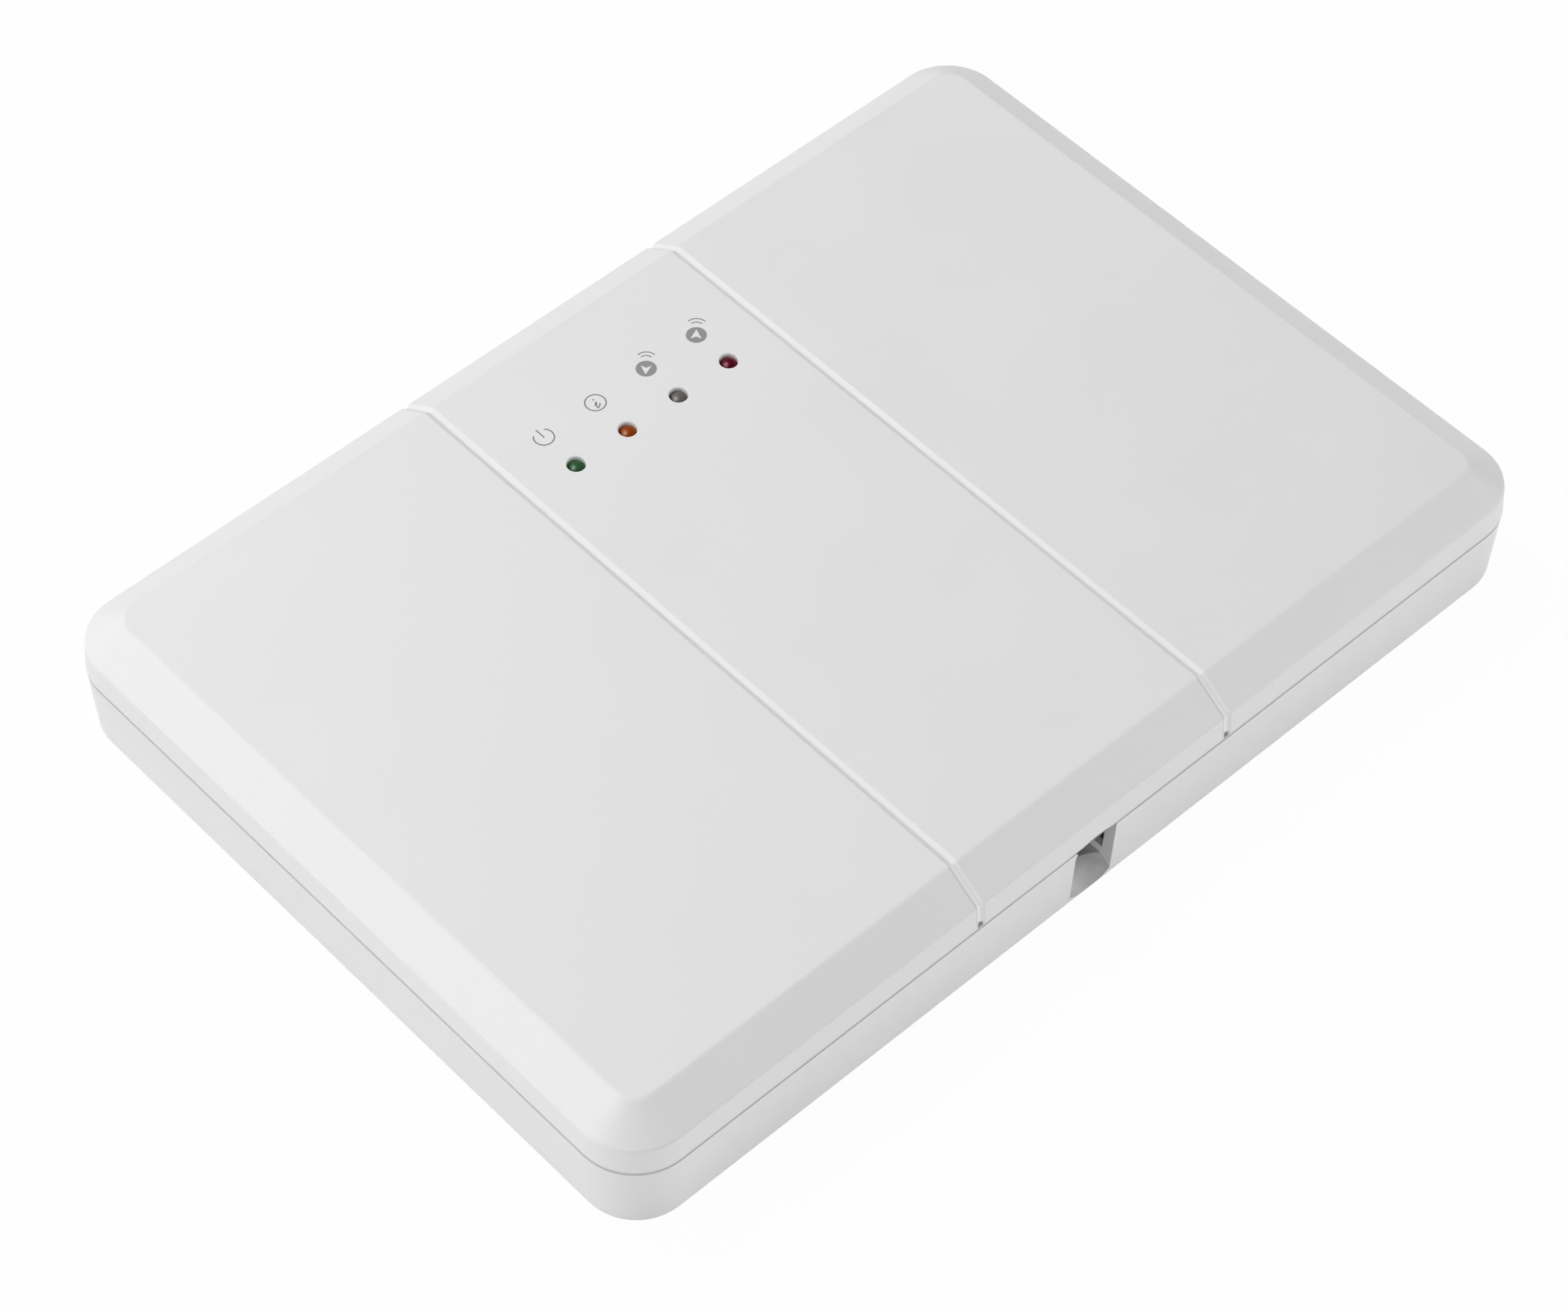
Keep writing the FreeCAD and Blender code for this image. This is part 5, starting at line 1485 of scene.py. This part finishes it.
def makeChips(look, leads):
    low, high, (halfX, halfY) = look["low"], look["high"], look["half"]
    caseName, leadsName, dotName = look["pieces"]
    dotX, dotY, radius, corners, sunk, thick = look["dot"]

    def cases(bm):
        for x, y in look["places"]:
            addCase(bm, x, y, halfX, halfY, boardTop + low, boardTop + high)

    def dots(bm):
        for x, y in look["places"]:
            addPlate(bm, circle(x + dotX, y + dotY, radius, corners), boardTop + high - sunk, thick)

    case = makePiece(caseName, cases, "chipCase")
    path = leadPath(look["foot"] - halfY + leads["inside"], (low + high) / 2, leads["sole"])
    made = grow(leadsName, spots(leadsName, look["places"], boardTop), leadsTree, {
        "Lead": path, "Count": look["leads"], "Pitch": look["pitch"] * mm, "Half Span": look["foot"] * mm,
        "Width": look["width"] * mm, "Thick": leads["thick"] * mm, "Sides": look["sides"],
        "First Turn": look["turn"]}, "tinPlate")
    bpy.data.objects.remove(path)
    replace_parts(case, look["node"])
    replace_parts(place(leadsName, made), look["node"])
    makePiece(dotName, dots, look["ink"])


for chip in chips.values():
    makeChips(chip, leadLook)
print("chips: cases, leads and marks")


# radio board, cans, choke and fuse
radioLook = {
    "hole": 0.62,
    "rim": (0.16, 0.14, 0.035),  # widths at its foot and top, and height
    "holePitch": 2.7,
    "holes": (5, 4),
    "sink": 0.02,
    "discRise": 0.006,
    "tabs": 5,
    "tab": (0.8, 0.35, 0.5, 0.1),  # half width, depth, height and bevel
    "resistor": ((68.2, 15.2, 90), (70.9, 15.2, 90), (70.9, 28.6, 90), (43.2, 28, 90)),
    "crystal": (69.9, 19.2, 2.2, 1.4, 1, 0.3),  # place, half sizes, height and bevel
    "chip": (69.7, 24.2, 2.2, 2.2, 0.05, 0.9),  # place, half sizes, and its lower and upper face
    "pins": tuple((49.11 + 2.54 * i, y) for i in range(8) for y in (12.1, 31.9)),
    "solder": ((0, 0), (0.8, 0), (0.55, 0.12), (0.34, 0.4), (0.3, 0.62), (0, 0.68)),
}


def makeRadio(look):
    low, high, middle = boxOf("radio_shield")
    foot, r, sink = low.z, look["hole"], look["sink"]
    xs, ys = ([centre + (i - (count - 1) / 2) * look["holePitch"] for i in range(count)]
              for centre, count in zip(middle, look["holes"]))
    seats = [(x, y) for x in xs for y in ys]
    outer, inner, rise = look["rim"]
    rim = [(r, -sink), (r + outer, -sink), (r + inner, rise), (r, rise)]
    copyPiece("shieldRims", turned(rim, 20, ring=True), seats, high.z, "tinPlate", "shield_tin", smooth=True)
    # painted shade: black discs in the shield's holes stand in for the shade inside them
    disc = [(0, -sink), (r, -sink), (r, look["discRise"]), (0, look["discRise"])]
    copyPiece("shieldHoles", turned(disc, 20), seats, high.z, "blackCase")

    def tabs(bm):
        half, deep, tall, bevel = look["tab"]
        for i in range(look["tabs"]):
            x, y = (a + (b - a) * (i + 0.5) / look["tabs"] for a, b in zip(low[:2], high[:2]))
            addBox(bm, x - half, x + half, high.y - sink, high.y + deep, foot, foot + tall, bevel)
            for edge, out in ((low.x, -deep), (high.x, deep)):
                addBox(bm, edge, edge + out, y - half, y + half, foot, foot + tall, bevel)

    makePiece("shieldTabs", tabs, "tinPlate")
    body, caps = chipShape(passives["sizes"]["resistor"])
    copyPiece("radioResistors", body, look["resistor"], foot, "blackCase")
    copyPiece("radioResistorEnds", caps, look["resistor"], foot, "tinPlate", "shield_tin")

    def crystalCan(bm):
        x, y, a, b, tall, bevel = look["crystal"]
        addBox(bm, x - a, x + a, y - b, y + b, foot, foot + tall, bevel)

    def radioChip(bm):
        x, y, a, b, under, over = look["chip"]
        addCase(bm, x, y, a, b, foot + under, foot + over)

    makePiece("radioCrystal", crystalCan, "nickelPlate")
    makePiece("radioChip", radioChip, "chipCase")
    copyPiece("radioSolder", turned(look["solder"], 16), look["pins"], foot, "tinPlate", "shield_tin", smooth=True)


makeRadio(radioLook)
print("radio: shield holes, tabs and pins")

powerLook = {
    "print": 3.45,
    "printChord": 0.9,
    "printThick": 0.012,
    "cans": ((28, -34), (39, -34), (50, -34)),
    "printTurn": 180,
    "canLeg": ((0.6, 3.4, 4.9, 0, 0.14, 0.05),),
    "choke": (62, -33),
    "core": 3.6,
    "wire": 0.24,
    "layers": 2,
    "winding": (10.52, 13.08),  # lowest and highest
    "fuse": (64.8, 75.2, -14, 13.5),  # from x to x, and at which y and z
    "fuseWire": 0.07,
    "fuseSag": 0.35,
}


def makeCans(look):
    r = look["print"]
    half = math.degrees(math.acos(look["printChord"] / r))

    def halfMoon(bm):
        addPlate(bm, arcPoints(0, 0, r, -half, half, 24), 0, look["printThick"])

    def legs(bm):
        for x, y in look["cans"]:
            for way in (-1, 1):
                addLeg(bm, x, y, way, look["canLeg"], boardTop, sideways=True)

    seats = [(x, y, look["printTurn"]) for x, y in look["cans"]]
    copyPiece("canPrints", halfMoon, seats, boxOf("capacitors")[1].z, "canPrint")
    makePiece("canLegs", legs, "tinPlate")


def makeChoke(look):
    # layers of enamelled wire wound on the drum
    wire, (low, high) = look["wire"], look["winding"]
    made = []
    for layer in range(look["layers"]):
        radius = look["core"] + wire * (1.05 + 1.75 * layer)
        tall = high - low - (2 + layer) * wire
        axis = spots("windingAxis", [look["choke"]], low + wire * (1 + 0.5 * layer))
        made.append(grow("winding", axis, coilTree, {
            "Turns": tall / (2.05 * wire), "Radius": radius * mm, "Height": tall * mm, "Wire Radius": wire * mm},
            "enamelledCopper", smooth=True))
    place("chokeWinding", joinMeshes("chokeWinding", made, "enamelledCopper"))


def makeFuseWire(look):
    x0, x1, y, z = look["fuse"]

    def ringAt(share, steps=8):
        sag = look["fuseSag"] * 4 * share * (1 - share)
        x, turns = x0 + (x1 - x0) * share, [2 * math.pi * k / steps for k in range(steps)]
        return [(x, y + look["fuseWire"] * math.cos(a), z - sag + look["fuseWire"] * math.sin(a)) for a in turns]

    makePiece("fuseWire", lambda bm: addStack(bm, [ringAt(i / 16) for i in range(17)]), "tinPlate",
              smooth=True)


makeCans(powerLook)
makeChoke(powerLook)
makeFuseWire(powerLook)
print("power parts: can prints, winding and fuse wire")


# switches, terminals, antenna feet and battery ends
switchLook = {
    "keyX": (-30.81, -28.27, -25.73, -23.19),
    "numberSize": 1.5,
    "numberY": -26.55,
    "word": ("ON", 1.1, -31.55, -21.55),  # text, size, x and y
    "wordRise": 0.006,
    "wordDepth": 0.008,
    "rivets": ((-29.4, -8.4), (-24.6, -8.4), (-24.6, -3.6), (-29.4, -3.6)),
    "rivet": ((0, -0.01), (0.36, -0.01), (0.34, 0.02), (0.2, 0.03), (0, 0.03)),
    "dipLeg": ((0.28, 0, 0.25, 0.1, 1.2, 0.05), (0.28, 0.15, 1.1, 0, 0.16, 0.05)),
    "buttonLeg": ((0.4, 0, 0.2, 0.1, 0.9, 0.05), (0.4, 0, 1, 0, 0.16, 0.05)),
    "buttons": {"program_switch": 2.25, "tamper_switch": 2.5},  # half the distance between a side's legs
    "clamps": (-9.62, -4.54, 0.54, 5.62),
    "clampPlates": ((1.35, 1.6, 2.2, 1.7, 2, 0.06), (1.35, 1.7, 2.1, 4.1, 4.5, 0.06)),
    "feet": ((-30, 43), (86.4, -34)),
    "footSolder": ((0.6, 0), (1.5, 0), (1.15, 0.12), (0.85, 0.5), (0.64, 1), (0.6, 1.02)),
    "strip": (0.01, 0.13, 0.03),  # the welded strips' start and end beyond the cells, and bevel
    "stripHalf": (3, 1.9),
    "stripPairs": (((-1.5, -0.5), (0.5, 1.5)), ((-0.5, 0.5),)),
}


def wordMesh(text, size, x, y, z):
    curve = bpy.data.curves.new("word", "FONT")
    curve.body = text
    curve.size = size * mm
    curve.align_x = "CENTER"
    curve.align_y = "CENTER"
    curve.extrude = switchLook["wordDepth"] * mm
    curve.resolution_u = 3
    holder = newObject("word", curve)
    made = evaluated(holder)
    made.transform(Matrix.Translation((x * mm, y * mm, z * mm)))
    bpy.data.objects.remove(holder)
    bpy.data.curves.remove(curve)
    return made


def makeSwitchDetails(look):
    low, high = boxOf("dip_body")[:2]
    words = [("%d" % (i + 1), look["numberSize"], x, look["numberY"]) for i, x in enumerate(look["keyX"])]
    meshes = [wordMesh(*word, high.z + look["wordRise"]) for word in words + [look["word"]]]
    place("switchNumbers", joinMeshes("switchNumbers", meshes, "screenInk"))
    copyPiece("keyRivets", turned(look["rivet"], 16), look["rivets"], boxOf("program_switch")[1].z, "nickelPlate",
              smooth=True)

    def legs(bm):
        for x in look["keyX"]:
            for edge, way in ((low.y, -1), (high.y, 1)):
                addLeg(bm, x, edge, way, look["dipLeg"], boardTop)
        for node, half in look["buttons"].items():
            first, last, centre = boxOf(node)
            for edge, way in ((first.x, -1), (last.x, 1)):
                for y in (centre.y - half, centre.y + half):
                    addLeg(bm, edge, y, way, look["buttonLeg"], boardTop, sideways=True)

    makePiece("switchLegs", legs, "tinPlate")


def makeClamps(look):
    # the clamp plate behind each wire mouth, and the cage's lower lip
    front = boxOf("terminal_block")[0].y

    def cages(bm):
        for x in look["clamps"]:
            addLeg(bm, x, front, 1, look["clampPlates"], boardTop)

    makePiece("clampPlates", cages, "nickelPlate")


def makeBatteryStrips(look):
    # welded nickel strips that join the four cells, alternating from end to end
    low, high, middle = boxOf("battery_cells")
    pitch = sleeveLook["cellPitch"]
    longer, taller = look["stripHalf"]
    inner, outer, bevel = look["strip"]

    def strips(bm):
        for edge, way, pairs in zip((low.x, high.x), (-1, 1), look["stripPairs"]):
            for a, b in pairs:
                addBox(bm, edge + way * inner, edge + way * outer, middle.y + a * pitch - longer,
                       middle.y + b * pitch + longer, middle.z - taller, middle.z + taller, bevel)

    makePiece("batteryStrips", strips, "nickelPlate")


makeSwitchDetails(switchLook)
makeClamps(switchLook)
copyPiece("antennaSolder", turned(switchLook["footSolder"], 24, ring=True), switchLook["feet"], boardTop,
          "tinPlate", "shield_tin", smooth=True)
makeBatteryStrips(switchLook)
print("switches, terminals and battery: details set")

print("done")
